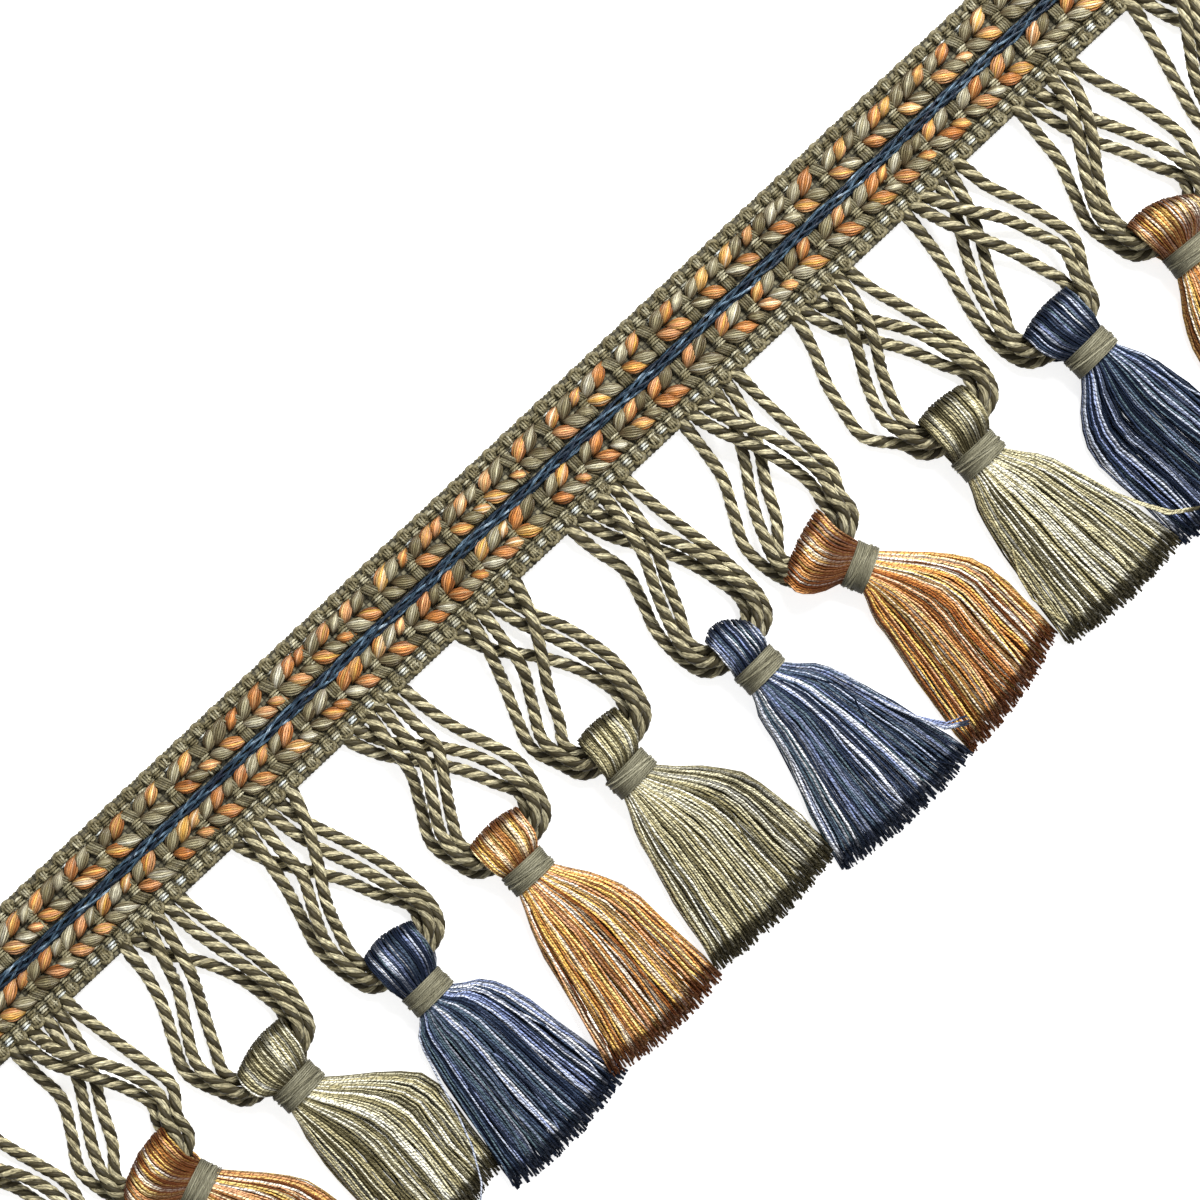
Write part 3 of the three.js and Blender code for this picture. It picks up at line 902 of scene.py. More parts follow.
LEAF_FINISH = ThreadFinish(
    "leaf_satin_thread",
    ((0.0, (0.09, 0.075, 0.035)), (0.12, OLIVE), (0.27, OLIVE_GREY), (0.4, OLIVE_PALE),
     (0.49, (0.64, 0.62, 0.50)), (0.52, RUST), (0.64, ORANGE), (0.75, SALMON), (0.86, AMBER),
     (1.0, PEACH)),
    (0.045, 0.02, 0.007), plies=2.0, pitch=3.5, roughness=0.36, groove_shade=0.35, streak=0.55,
    patch=0.03)
CENTRE_FINISH = ThreadFinish(
    "centre_cord_thread",
    ((0.0, NAVY_DARK), (0.4, (0.014, 0.03, 0.05)), (0.6, (0.04, 0.08, 0.12)),
     (0.78, (0.14, 0.22, 0.30)), (1.0, (0.52, 0.62, 0.70))),
    NAVY_DARK, plies=3.0, pitch=2.2, roughness=0.45, groove_shade=0.6, streak=0.9, patch=0.7)
YARN_COLOURS = {
    Yarn.BLUE: (
        (0.0, NAVY_DARK), (0.18, (0.021, 0.032, 0.065)), (0.34, (0.07, 0.10, 0.16)),
        (0.48, (0.12, 0.18, 0.20)), (0.6, (0.19, 0.22, 0.31)), (0.7, (0.30, 0.37, 0.64)),
        (0.82, (0.50, 0.55, 0.67)), (0.93, (0.69, 0.72, 0.81)), (1.0, (0.88, 0.88, 0.89))),
    Yarn.GOLD: (
        (0.0, (0.13, 0.035, 0.008)), (0.12, RUST), (0.25, (0.52, 0.24, 0.07)),
        (0.38, (0.80, 0.37, 0.10)), (0.5, (0.86, 0.49, 0.28)), (0.64, (0.90, 0.57, 0.13)),
        (0.76, (0.94, 0.74, 0.30)), (0.9, (0.95, 0.80, 0.58)), (1.0, (0.96, 0.91, 0.80))),
    Yarn.OLIVE: (
        (0.0, (0.06, 0.05, 0.022)), (0.12, (0.17, 0.145, 0.07)), (0.35, (0.41, 0.36, 0.195)),
        (0.6, (0.62, 0.56, 0.335)), (0.82, (0.78, 0.73, 0.50)), (1.0, (0.94, 0.93, 0.84))),
}
# Colours that each yarn falls to in painted shade.
YARN_SHADE_COLOURS = {Yarn.BLUE: NAVY_DARK, Yarn.GOLD: RUST_DARK, Yarn.OLIVE: (0.03, 0.024, 0.010)}
YARN_FINISHES = {
    yarn: ThreadFinish(
        f"{yarn.value}_yarn", colours, YARN_SHADE_COLOURS[yarn], plies=1.0, pitch=0.9, roughness=0.55,
        groove_shade=0.8, streak=0.6, patch=0.12, end_dark=0.93, gloss=0.08)
    for yarn, colours in YARN_COLOURS.items()
}
GROUND_FINISH = WovenFinish("woven_ground", OLIVE_GREY, OLIVE_DARK, warp_pitch=0.9, weft_pitch=1.1)


@dataclass(frozen=True)
class Lamp:
    """Square lamp that shines on the trim's middle: its place and width in metres, its watts."""

    name: str
    place: Point
    width: float
    power: float

    def hang(self) -> None:
        """Hangs the lamp."""
        data = bpy.data.lights.new(self.name, "AREA")
        data.energy = self.power
        data.size = self.width
        facing = Vector(self.place).to_track_quat("Z", "Y").to_matrix().to_4x4()
        place_new(self.name, data).matrix_world = Matrix.Translation(self.place) @ facing


@dataclass
class Studio:
    """Straight-down camera, plain pale floor and soft light from the trim's upper side."""

    centre: tuple[float, float] = (2.2, 18.05)
    turn_deg: float = 43.16
    distance: float = 634.0
    lens: float = 100.0
    sensor_width: float = 36.0
    clips_m: tuple[float, float] = (0.01, 50.0)
    floor_size_m: float = 4.0
    floor_drop: float = 0.2
    floor_grey: float = 0.74
    floor_glow: float = 0.72
    floor_roughness: float = 0.9
    sky_strength: float = 0.36
    lamps: tuple[Lamp, ...] = (
        Lamp("key_light", (0.75, 0.4, 1.05), 0.5, 27.0),
        Lamp("fill_light", (-0.6, -0.6, 1.3), 1.2, 2.0),
    )

    def place_camera(self) -> None:
        """Sets the camera over the trim, turned as in the photo."""
        data = bpy.data.cameras.new("camera")
        data.lens = self.lens
        data.sensor_width = self.sensor_width
        data.clip_start, data.clip_end = self.clips_m
        camera = place_new("camera", data)
        camera.matrix_world = (
            Matrix.Translation(Vector((*self.centre, self.distance)) * MM)
            @ Matrix.Rotation(math.radians(-self.turn_deg), 4, "Z"))
        bpy.context.scene.camera = camera

    def lay_floor(self) -> None:
        """Lays the floor just under the trim."""
        sheet = bmesh.new()
        bmesh.ops.create_grid(sheet, x_segments=1, y_segments=1, size=self.floor_size_m / 2)
        bmesh.ops.translate(sheet, verts=sheet.verts, vec=(0, 0, -self.floor_drop * MM))
        mesh = bpy.data.meshes.new("floor")
        sheet.to_mesh(mesh)
        sheet.free()
        paint = bpy.data.materials.new("floor_paint")
        paint.use_nodes = True
        shader = paint.node_tree.nodes["Principled BSDF"]
        shader.inputs["Base Color"].default_value = (*[self.floor_grey] * 3, 1.0)
        shader.inputs["Roughness"].default_value = self.floor_roughness
        shader.inputs["Specular IOR Level"].default_value = 0.0
        shader.inputs["Emission Color"].default_value = (1.0, 1.0, 1.0, 1.0)
        shader.inputs["Emission Strength"].default_value = self.floor_glow
        mesh.materials.append(paint)
        place_new("floor", mesh)

    def light(self) -> None:
        """Hangs the lamps under a white sky."""
        for lamp in self.lamps:
            lamp.hang()
        sky = bpy.data.worlds.new("soft_sky")
        sky.use_nodes = True
        background = sky.node_tree.nodes["Background"]
        background.inputs["Color"].default_value = (1.0, 1.0, 1.0, 1.0)
        background.inputs["Strength"].default_value = self.sky_strength
        bpy.context.scene.world = sky
        bpy.context.scene.view_settings.view_transform = "Standard"

    def build(self) -> None:
        """Sets the whole studio."""
        self.place_camera()
        self.lay_floor()
        self.light()


def finish_piece(piece: bpy.types.Object, material: bpy.types.Material,
                 nodes: tuple[str, ...] = ()) -> None:
    """Dresses a piece and ties it to the frame.

    Args:
        piece: the finished object.
        material: what it is dressed in.
        nodes: solids that it stands for.
    """
    piece.data.materials.clear()
    piece.data.materials.append(material)
    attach(piece, "root")
    if nodes:
        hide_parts(*nodes)
    LOG.info("%s: %d faces", piece.name, len(piece.data.polygons))


@dataclass
class Leg:
    """One leg of a loop: its side, its loop, and its X and Z at each station."""

    side: Side
    loop: Loop
    x: list[float]
    z: list[float] = field(default_factory=list)

    def lean(self, place: float) -> float:
        """Sideways run for each millimetre down."""
        k = min(int(place), len(STATIONS) - 2)
        return (self.x[k + 1] - self.x[k]) / (STATIONS[k].y - STATIONS[k + 1].y)


@dataclass
class TasselPlace:
    """Places of one tassel: its station, its legs, and the frames of its head and neck."""

    index: int
    row: TasselRow

    @property
    def number(self) -> str:
        """Two-digit number in the nodes' names."""
        return f"{self.index + 1:02d}"

    @property
    def x(self) -> float:
        """The station's place along the heading."""
        return (self.index - (TASSEL_COUNT - 1) / 2) * PITCH

    def from_part(self, part: Passage | Band, x: float, y: float, z: float) -> Point:
        """Moves a place in the frame of the loops' passage or of the bound neck to the trim's."""
        c, s = math.cos(math.radians(part.turn)), math.sin(math.radians(part.turn))
        return (self.x + part.x + c * x - s * y, part.y + s * x + c * y, z)

    def legs(self) -> list[Leg]:
        """Lays out the six legs of the three loops and lets them settle.

        Returns:
            The legs from left to right in the heading.
        """
        loops = {Side.LEFT: list(Loop), Side.RIGHT: list(Loop)[::-1]}
        first = {Side.LEFT: 0, Side.RIGHT: len(Loop)}
        seen = {Side.LEFT: 0, Side.RIGHT: 0}
        legs = []
        for root, side in enumerate(map(Side, self.row.order)):
            column = first[side] + seen[side]
            root_x = (root - (len(self.row.order) - 1) / 2) * ROOT_SPACING
            waist_x, belly_x = self.row.waist[column], self.row.belly[column]
            x = [s.root * root_x + s.waist * waist_x + s.belly * belly_x for s in STATIONS]
            legs.append(Leg(side, loops[side][seen[side]], x))
            seen[side] += 1
        self.settle(legs)
        return legs

    def settle(self, legs: list[Leg]) -> None:
        """Lets each leg down on the table or on the legs laid before it.

        Args:
            legs: the six legs, whose heights are filled in.
        """
        rank = {Loop.OUTER: 0, Loop.INNER: 1, Loop.MIDDLE: 2}
        last = len(STATIONS) - 1
        laid: list[Leg] = []
        for leg in sorted(legs, key=lambda one: (one.side == self.row.over, rank[one.loop])):
            for s in range(last + 1):
                z = MIDDLE_BELLY_Z if leg.loop == Loop.MIDDLE and s == last else CORD_RADIUS
                for step in range(-4, 5):
                    place = s + step / 8
                    if 0 <= place <= last:
                        z = max([z, *(self.height_over(leg, under, place) for under in laid)])
                if s == 0:
                    z = FRONT_ROOT_Z if leg.side == self.row.over else CORD_RADIUS
                leg.z.append(z)
            laid.append(leg)

    def height_over(self, leg: Leg, under: Leg, place: float) -> float:
        """Height that keeps a leg clear of another one.

        Args:
            leg: the upper leg.
            under: the lower leg.
            place: where, counted in stations.

        Returns:
            The height of the upper leg's middle, or 0 where the two lie side by side.
        """
        slant = math.atan((leg.lean(place) + under.lean(place)) / 2)
        apart = abs(between(leg.x, place) - between(under.x, place)) * math.cos(slant)
        if apart >= LEG_CLEARANCE:
            return 0.0
        return between(under.z, place) + math.sqrt(LEG_CLEARANCE ** 2 - apart ** 2)

    def loop_points(self, legs: list[Leg], loop: Loop) -> list[Point]:
        """Points of one loop, down its left leg, through the head and up its right leg.

        Args:
            legs: the settled legs.
            loop: which of the three loops.

        Returns:
            Sixteen points.
        """
        lane, head = LANES[loop], self.row.head
        start = head.width / 2 + lane.out
        slant = lane.radius * math.sqrt(0.5)
        halves = []
        for side, sign in ((Side.LEFT, -1), (Side.RIGHT, 1)):
            leg = next(one for one in legs if one.side == side and one.loop == loop)
            down = [(self.x + leg.x[k], s.y, leg.z[k]) for k, s in enumerate(STATIONS)]
            down.append(self.from_part(head, sign * start, lane.y + lane.radius, lane.start_z))
            down.append(self.from_part(head, sign * (start - lane.radius + slant),
                                       lane.y + lane.radius - slant, lane.mid_z))
            down.append(self.from_part(head, sign * (start - lane.radius), lane.y, lane.z))
            halves.append(down)
        return halves[0] + halves[1][::-1]


def cord_route(points: list[Point], parts: int = 8) -> np.ndarray:
    """Smooth middle line of a cord that bends as the solid one does.

    Args:
        points: the places that it passes through.
        parts: stretches between two of them.

    Returns:
        Points along it.
    """
    given = [Vector(p) for p in points]
    given = [given[0] * 2 - given[1], *given, given[-1] * 2 - given[-2]]
    line = []
    for k in range(1, len(given) - 2):
        a, b, c, d = given[k - 1:k + 3]
        t1 = (b - a).length ** 0.5
        t2 = t1 + (c - b).length ** 0.5
        t3 = t2 + (d - c).length ** 0.5
        for part in range(parts):
            t = t1 + (t2 - t1) * part / parts
            ab = a * ((t1 - t) / t1) + b * (t / t1)
            bc = b * ((t2 - t) / (t2 - t1)) + c * ((t - t1) / (t2 - t1))
            cd = c * ((t3 - t) / (t3 - t2)) + d * ((t - t2) / (t3 - t2))
            low = ab * ((t2 - t) / t2) + bc * (t / t2)
            high = bc * ((t3 - t) / (t3 - t1)) + cd * ((t - t1) / (t3 - t1))
            line.append(low * ((t2 - t) / (t2 - t1)) + high * ((t - t1) / (t2 - t1)))
    line.append(given[-2])
    return np.array([tuple(p) for p in line])


@dataclass
class LoopSet:
    """Three twisted cord loops that carry one tassel.

    tones are those of a cord's plies. tuck is how far a cord's ends run up under the heading,
    kept_lean how much of its leg's lean they keep there, and flare how much thicker it grows.
    rng is the seeded chance that all pieces share.
    """

    place: TasselPlace
    rng: random.Random
    ply_radius: float = 0.61
    ply_offset: float = 0.67
    tones: tuple[float, ...] = (0.7, 0.08, 0.7, 0.08)
    pitch: float = 7.4
    step: float = 0.8
    tuck: float = 2.7
    kept_lean: float = 0.3
    flare: float = 0.2

    def hidden_end(self, root: Point, beside: Point) -> Point:
        """End of a cord under the heading, past its root and the point beside that."""
        return (root[0] + (root[0] - beside[0]) * self.kept_lean, root[1] + self.tuck, CORD_RADIUS)

    def route(self, legs: list[Leg], loop: Loop) -> np.ndarray:
        """Middle line of one cord from end to end.

        Args:
            legs: the settled legs.
            loop: which of the three loops.

        Returns:
            Evenly spaced points.
        """
        points = self.place.loop_points(legs, loop)
        ends = self.hidden_end(points[0], points[1]), self.hidden_end(points[-1], points[-2])
        line = even_line(cord_route([ends[0], *points, ends[1]]), self.step)
        line[:, 2] = np.maximum(line[:, 2], self.ply_offset + self.ply_radius)
        return line

    def light(self, line: np.ndarray) -> np.ndarray:
        """Painted light on a cord, with painted shade beside the tassel's head and under the heading.

        Args:
            line: the cord's middle line.

        Returns:
            The painted light at each of its points.
        """
        clear_of_head = ease((line[:, 1] + 4.0) / 10.0)
        near_heading = ease((line[:, 1] - 26.5) / 5.0)
        return 0.6 + 0.48 * clear_of_head * (1 - 0.35 * near_heading)

    def build(self, material: bpy.types.Material) -> None:
        """Args:
            material: the cord's finish.
        """
        legs = self.place.legs()
        for loop in LANES:
            line = self.route(legs, loop)
            width = 1.0 + self.flare * ease((line[:, 1] - 26.0) / 4.0)
            light = self.light(line)
            bundle = Bundle(f"cord_{self.place.number}_{loop.value}", self.ply_radius, roundness=1)
            plies = twisted_plies(line, len(self.tones), self.ply_offset, self.pitch, self.rng.random())
            for ply, tone in zip(plies, self.tones):
                bundle.add(ply, tone + self.rng.uniform(-0.05, 0.05), light, width)
            piece = bundle.build()
            finish_piece(piece, material, (f"loop_{self.place.number}_{loop.value}",))


@dataclass
class Tassel:
    """Yarn folded over the loops: its head, its wound wrap and its cut skirt.

    Of the skirt's threads, stray_share hang to one side, shaded_share are dimmed with painted
    shade, as that share of the head's threads is too, and slub_share are thick and pale.
    shoulder_y and mid_y are two places on the way to its hem. A head's thread leaves the wrap,
    follows head_way up the front and down the back, and ends in the wrap. head_way holds the
    share of the way from the wrap to the rim, the share of the rim's width that the thread has
    by then, and its height over the table.
    """

    place: TasselPlace
    rng: random.Random
    thread: float = 0.2
    inset: float = 0.5
    neck_z: float = 4.15
    neck_rise: float = 3.95
    layers: int = 5
    spacing: float = 0.46
    locks: int = 9
    stray_share: float = 0.03
    shaded_share: float = 0.22
    slub_share: float = 0.06
    shoulder_y: float = -19.6
    mid_y: float = -26.5
    mid_rise: float = 5.3
    hem_rise: float = 4.0
    shells: int = 3
    head_spacing: float = 0.37
    fold_z: float = 4.4
    head_way: tuple[Point, ...] = (
        (0.22, 0.6, 8.7), (0.5, 0.95, 8.8), (0.76, 1.0, 8.0), (0.93, 1.0, 6.4), (1.0, 1.0, 4.4),
        (0.93, 1.0, 2.4), (0.76, 0.98, 1.0), (0.5, 0.92, 0.45), (0.2, 0.55, 0.45),
    )
    wrap_half: float = 2.1
    wrap_turns: int = 22
    wrap_turn_points: int = 20
    wrap_thread: float = 0.18
    wrap_z: float = 4.3
    wrap_rise: float = 3.95

    def from_band(self, x: float, y: float, z: float) -> Point:
        """Moves a place in the bound neck's frame to the trim's."""
        return self.place.from_part(self.place.row.band, x, y, z)

    def neck_point(self, a: float, b: float, y: float, fullness: float = 1.0) -> Point:
        """Place of a thread in the neck.

        Args:
            a: its share across the neck, -1 to 1.
            b: its share up the neck, 0 to 1.
            y: how far up the tassel from the wrap's middle.
            fullness: the neck's size there beside its own.

        Returns:
            The place in the trim's frame.
        """
        half = (self.place.row.band.half - self.inset) * fullness
        rise = self.neck_rise * math.sqrt(max(1 - 0.92 * a * a, 0.0)) * (2 * b - 1)
        return self.from_band(a * half, y, self.neck_z + rise * fullness)

    def light(self, shaded: tuple[float, float], lit: tuple[float, float]) -> float:
        """Painted light on one thread, within the first range if it is dimmed as painted shade."""
        return self.rng.uniform(*(shaded if self.rng.random() < self.shaded_share else lit))

    def skirt(self) -> Bundle:
        """Threads from the neck to the cut hem.

        Returns:
            The skirt's threads.
        """
        row = self.place.row
        bundle = Bundle(f"skirt_{self.place.number}_{row.yarn.value}", self.thread)
        sways = [self.rng.uniform(-0.5, 0.5) for _ in range(self.locks + 2)]
        for layer in range(self.layers):
            b = (layer + 0.5) / self.layers
            on_top = layer >= self.layers - 2
            # Painted shade: the lower layers, lying under the others, are dimmed.
            depth = 0.42 + 0.58 * (layer / (self.layers - 1)) ** 1.2
            spacing = self.spacing * (1.12 if on_top else 1.0)
            count = int((row.hem[1] - row.hem[0]) * (1 - 0.06 * layer) / spacing)
            for k in range(count):
                a = (-1 + 2 * (k + 0.5 + self.rng.uniform(-0.45, 0.45)) / count) * (1 - 0.02 * layer)
                lock = (a + 1) / 2 * self.locks + 0.37 * layer
                pull = (math.floor(lock) + 0.5 - lock) / self.locks
                spread = 1.6 if self.rng.random() < self.stray_share else 0.2
                sway = sways[int(lock) % len(sways)] + self.rng.gauss(0, spread)
                line = self.skirt_line(a, b, layer, pull, sway)
                light = self.light((0.2, 0.55), (0.9, 1.3))
                slub = on_top and self.rng.random() < self.slub_share
                tone = self.rng.uniform(0.86, 1.0) if slub else self.rng.random() ** row.darkness
                bundle.add(line, tone, depth * light, 1.25 if slub else self.rng.uniform(0.75, 1.2))
        if row.loose:
            self.add_stray(bundle, row.loose)
        return bundle

    def add_stray(self, bundle: Bundle, lock: StrayLock) -> None:
        """Adds a lock that has strayed from the skirt's top.

        Args:
            bundle: the skirt's threads.
            lock: where the lock ends.
        """
        for _ in range(lock.threads):
            line = self.skirt_line(lock.across, 1.0, 0, 0.0, 0.0)
            end_x = self.place.x + lock.end_x + self.rng.gauss(0, 0.5)
            end = np.array((end_x, lock.end_y + self.rng.gauss(0, 0.5), line[-1, 2] + 2.5))
            line += np.linspace(0, 1, len(line))[:, None] ** 7 * (end - line[-1])
            bundle.add(line, self.rng.uniform(0.6, 0.95), 0.95)

    def skirt_line(self, a: float, b: float, layer: int, pull: float, sway: float) -> np.ndarray:
        """Path of one thread of the skirt.

        Args:
            a: its share across the skirt, -1 to 1.
            b: its share up the skirt, 0 to 1.
            layer: which layer it lies in.
            pull: how far its lock draws it sideways, as a share of the width.
            sway: how far its end hangs to one side.

        Returns:
            The thread's points.
        """
        row, station, share = self.place.row, self.place.x, (a + 1) / 2
        mid_x = station + row.mid[0] + (row.mid[1] - row.mid[0]) * (share + 0.05 * pull)
        hem_x = station + row.hem[0] + (row.hem[1] - row.hem[0]) * (share + 0.13 * pull)
        end_y = row.hem_y[0] + (row.hem_y[1] - row.hem_y[0]) * share
        end_y += 1.6 * a * a + 0.62 * layer + abs(self.rng.gauss(0, 0.5))
        lift = max(row.lift[0] * max(-a, 0) + row.lift[1] * max(a, 0), -b * 2.5)
        dome = 1 - 0.4 * a * a
        mid_z = 0.25 + b * self.mid_rise * dome + lift * 0.7
        hem_z = 0.22 + b * self.hem_rise * dome + lift
        under = self.neck_point(a, b, -self.wrap_half - 0.5, 1.03)
        points = [
            self.neck_point(a, b, 0.0),
            under,
            (under[0] + (mid_x - under[0]) * 0.63, self.shoulder_y, 0.45 * under[2] + 0.55 * mid_z),
            (mid_x + 0.4 * sway, self.mid_y, mid_z + self.rng.uniform(-0.15, 0.15)),
            (mid_x + (hem_x - mid_x) * 0.55 - 0.5 * sway, (end_y + self.mid_y) / 2,
             (mid_z + hem_z) / 2 + self.rng.uniform(-0.2, 0.2)),
            (hem_x + 0.7 * sway, end_y, max(hem_z - 0.1, self.thread)),
        ]
        line = smooth_line(points, 11)
        run = np.linspace(0, 1, len(line))
        line[:, 0] += 0.2 * run * np.sin(run * self.rng.uniform(18, 34) + self.rng.uniform(0, 6.3))
        line[:, 2] += 0.2 * run * np.sin(run * self.rng.uniform(14, 30) + self.rng.uniform(0, 6.3))
        line[:, 2] = np.maximum(line[:, 2], self.thread * 1.2)
        return line

    def head(self) -> Bundle:
        """Threads that run up the front, over the loops and down the back.

        Returns:
            The head's threads.
        """
        row = self.place.row
        bundle = Bundle(f"head_{self.place.number}_{row.yarn.value}", self.thread)
        width = row.rim.right[0] - row.rim.left[0]
        for shell in range(self.shells):
            count = int(width / (self.head_spacing + 0.08 * shell))
            for k in range(count):
                a = -1 + 2 * (k + 0.5 + self.rng.uniform(-0.4, 0.4)) / count
                line = self.head_line(a, shell)
                along = np.linspace(0, 1, len(line))
                # Painted light and shade: dark over the wrap as far up as the row's gloom, lit up the
                # front, dark at the rim where the fold turns away, dimmer down the back and in the deeper
                # shells.
                start = 0.06 + 0.27 * row.gloom + self.rng.uniform(-0.025, 0.025)
                front = ease((along - start) / 0.1) * ease((self.rng.uniform(0.35, 0.41) - along) / 0.05)
                back = 0.6 * ease((along - 0.52) / 0.08)
                light = self.light((0.25, 0.6), (0.85, 1.2))
                shade = (0.1 + 0.95 * np.where(along < 0.5, front, back)) * light * (1 - 0.3 * shell)
                bundle.add(line, self.rng.random() ** row.darkness, shade, self.rng.uniform(0.85, 1.15))
        return bundle

    def head_line(self, a: float, shell: int) -> np.ndarray:
        """Path of one thread of the head.

        Args:
            a: its share across the head, -1 to 1.
            shell: how deep it lies, 0 outermost.

        Returns:
            The thread's points.
        """
        rim, share = self.place.row.rim, (a + 1) / 2
        foot = self.neck_point(a, 0.5, self.wrap_half)
        rim_x = self.place.x + rim.left[0] + (rim.right[0] - rim.left[0]) * share
        rim_y = rim.left[1] + (rim.right[1] - rim.left[1]) * share
        rim_y += rim.crown * (1 - a * a) + self.rng.gauss(0, 0.04)
        round_off = math.sqrt(1 - 0.5 * a * a)
        arch = []
        for climb, out, z in self.head_way:
            y = foot[1] + (rim_y - foot[1]) * (climb * (1 - 0.05 * shell))
            rise = (z - self.fold_z) * round_off * (1 - 0.09 * shell)
            arch.append((foot[0] + (rim_x - foot[0]) * out, y, self.fold_z + rise))
        in_wrap, fullness = (0.3, self.wrap_half + 0.1), 1 - 0.08 * shell
        front = [self.neck_point(a, 1.0, y, fullness) for y in in_wrap]
        back = [self.neck_point(a, 0.0, y, fullness) for y in in_wrap[::-1]]
        line = smooth_line([*front, *arch, *back], 21)
        run = np.linspace(0, 1, len(line))
        line[:, 0] += 0.09 * np.sin(run * self.rng.uniform(20, 45) + self.rng.uniform(0, 6.3))
        line[:, 2] = np.maximum(line[:, 2], self.thread * 1.2)
        return line

    def wrap_point(self, angle: float, y: float, out: float, up: float) -> Point:
        """Place on the wrap.

        Args:
            angle: how far round the neck, in radians.
            y: how far up the tassel from the wrap's middle.
            out: how far it lies outside the wrap's bed at the sides.
            up: how far it lies over the bed at the top.

        Returns:
            The place in the trim's frame.
        """
        reach = self.place.row.band.half - self.wrap_thread
        return self.from_band((reach + out) * math.cos(angle), y,
                              self.wrap_z + (self.wrap_rise + up) * math.sin(angle))

    def wrap(self) -> Bundle:
        """Fine thread wound round the neck, with slanting turns and the knot that ends it.

        Returns:
            The wrap's thread.
        """
        bundle = Bundle(f"wrap_{self.place.number}", self.wrap_thread)
        for strand in range(2):
            self.wind(bundle, strand)
        for _ in range(3):
            low, high = self.rng.uniform(-0.9, 0.1), self.rng.uniform(-0.1, 0.9)
            slant = [self.wrap_point(t, self.wrap_half * (low + (high - low) * t / 3), 0.25, 0.2)
                     for t in np.linspace(0.05, 3.09, 14)]
            bundle.add(np.array(slant), self.rng.uniform(0.2, 0.9), self.rng.uniform(0.6, 1.15), 1.1)
        side = self.rng.choice((-1, 1))
        out = (self.place.row.band.half - self.wrap_thread) * 0.9
        knot = [self.from_band(side * (out + 0.6 * math.cos(t)), -0.3 + 0.8 * math.sin(t),
                               4.6 + 0.5 * math.cos(2 * t)) for t in np.linspace(0, 5.6, 12)]
        bundle.add(np.array(knot), 0.5, 0.8, 1.8)
        return bundle

    def wind(self, bundle: Bundle, strand: int) -> None:
        """Winds one strand of the wrap from its top to its bottom.

        Args:
            bundle: the wrap's thread.
            strand: 0 or 1.
        """
        steps = self.wrap_turns * self.wrap_turn_points // 2
        turn = np.arange(steps + 1) / self.wrap_turn_points + strand / 2
        share = np.linspace(0, 1, len(turn))
        angle = 2 * math.pi * turn
        y = self.wrap_half * (1 - 2 * (share * 0.96 + strand * 0.04))
        y += 0.14 * np.sin(turn * 2.3 + strand * 2) * np.sin(angle * 0.5)
        bulge = 0.16 * np.abs(2 * share - 1) + np.array([self.rng.uniform(-0.04, 0.04) for _ in turn])
        line = [self.wrap_point(t, v, g, g) for g, t, v in zip(bulge, angle, y)]
        # Painted light on the wound neck: lightest on top, darker round the sides and underneath, and
        # darker towards -x than towards +x.
        light = 0.12 + 0.8 * np.maximum(np.sin(angle), 0.25) ** 0.7 + 0.3 * np.cos(angle)
        grain = [self.rng.uniform(0.65, 1.15) for _ in range(self.wrap_turns * 3)]
        light *= np.interp(turn * 3, np.arange(len(grain)), grain)
        bundle.add(np.array(line), 0.45 + 0.25 * strand + self.rng.uniform(-0.1, 0.1), light)

    def build(self, yarn: bpy.types.Material, thread: bpy.types.Material) -> None:
        """Makes and dresses the tassel's three pieces.

        Args:
            yarn: finish of the head and skirt.
            thread: finish of the wrap.
        """
        node = f"tassel_{self.place.number}_{self.place.row.yarn.value}"
        finish_piece(self.skirt().build(), yarn, (node,))
        finish_piece(self.head().build(), yarn)
        finish_piece(self.wrap().build(), thread)


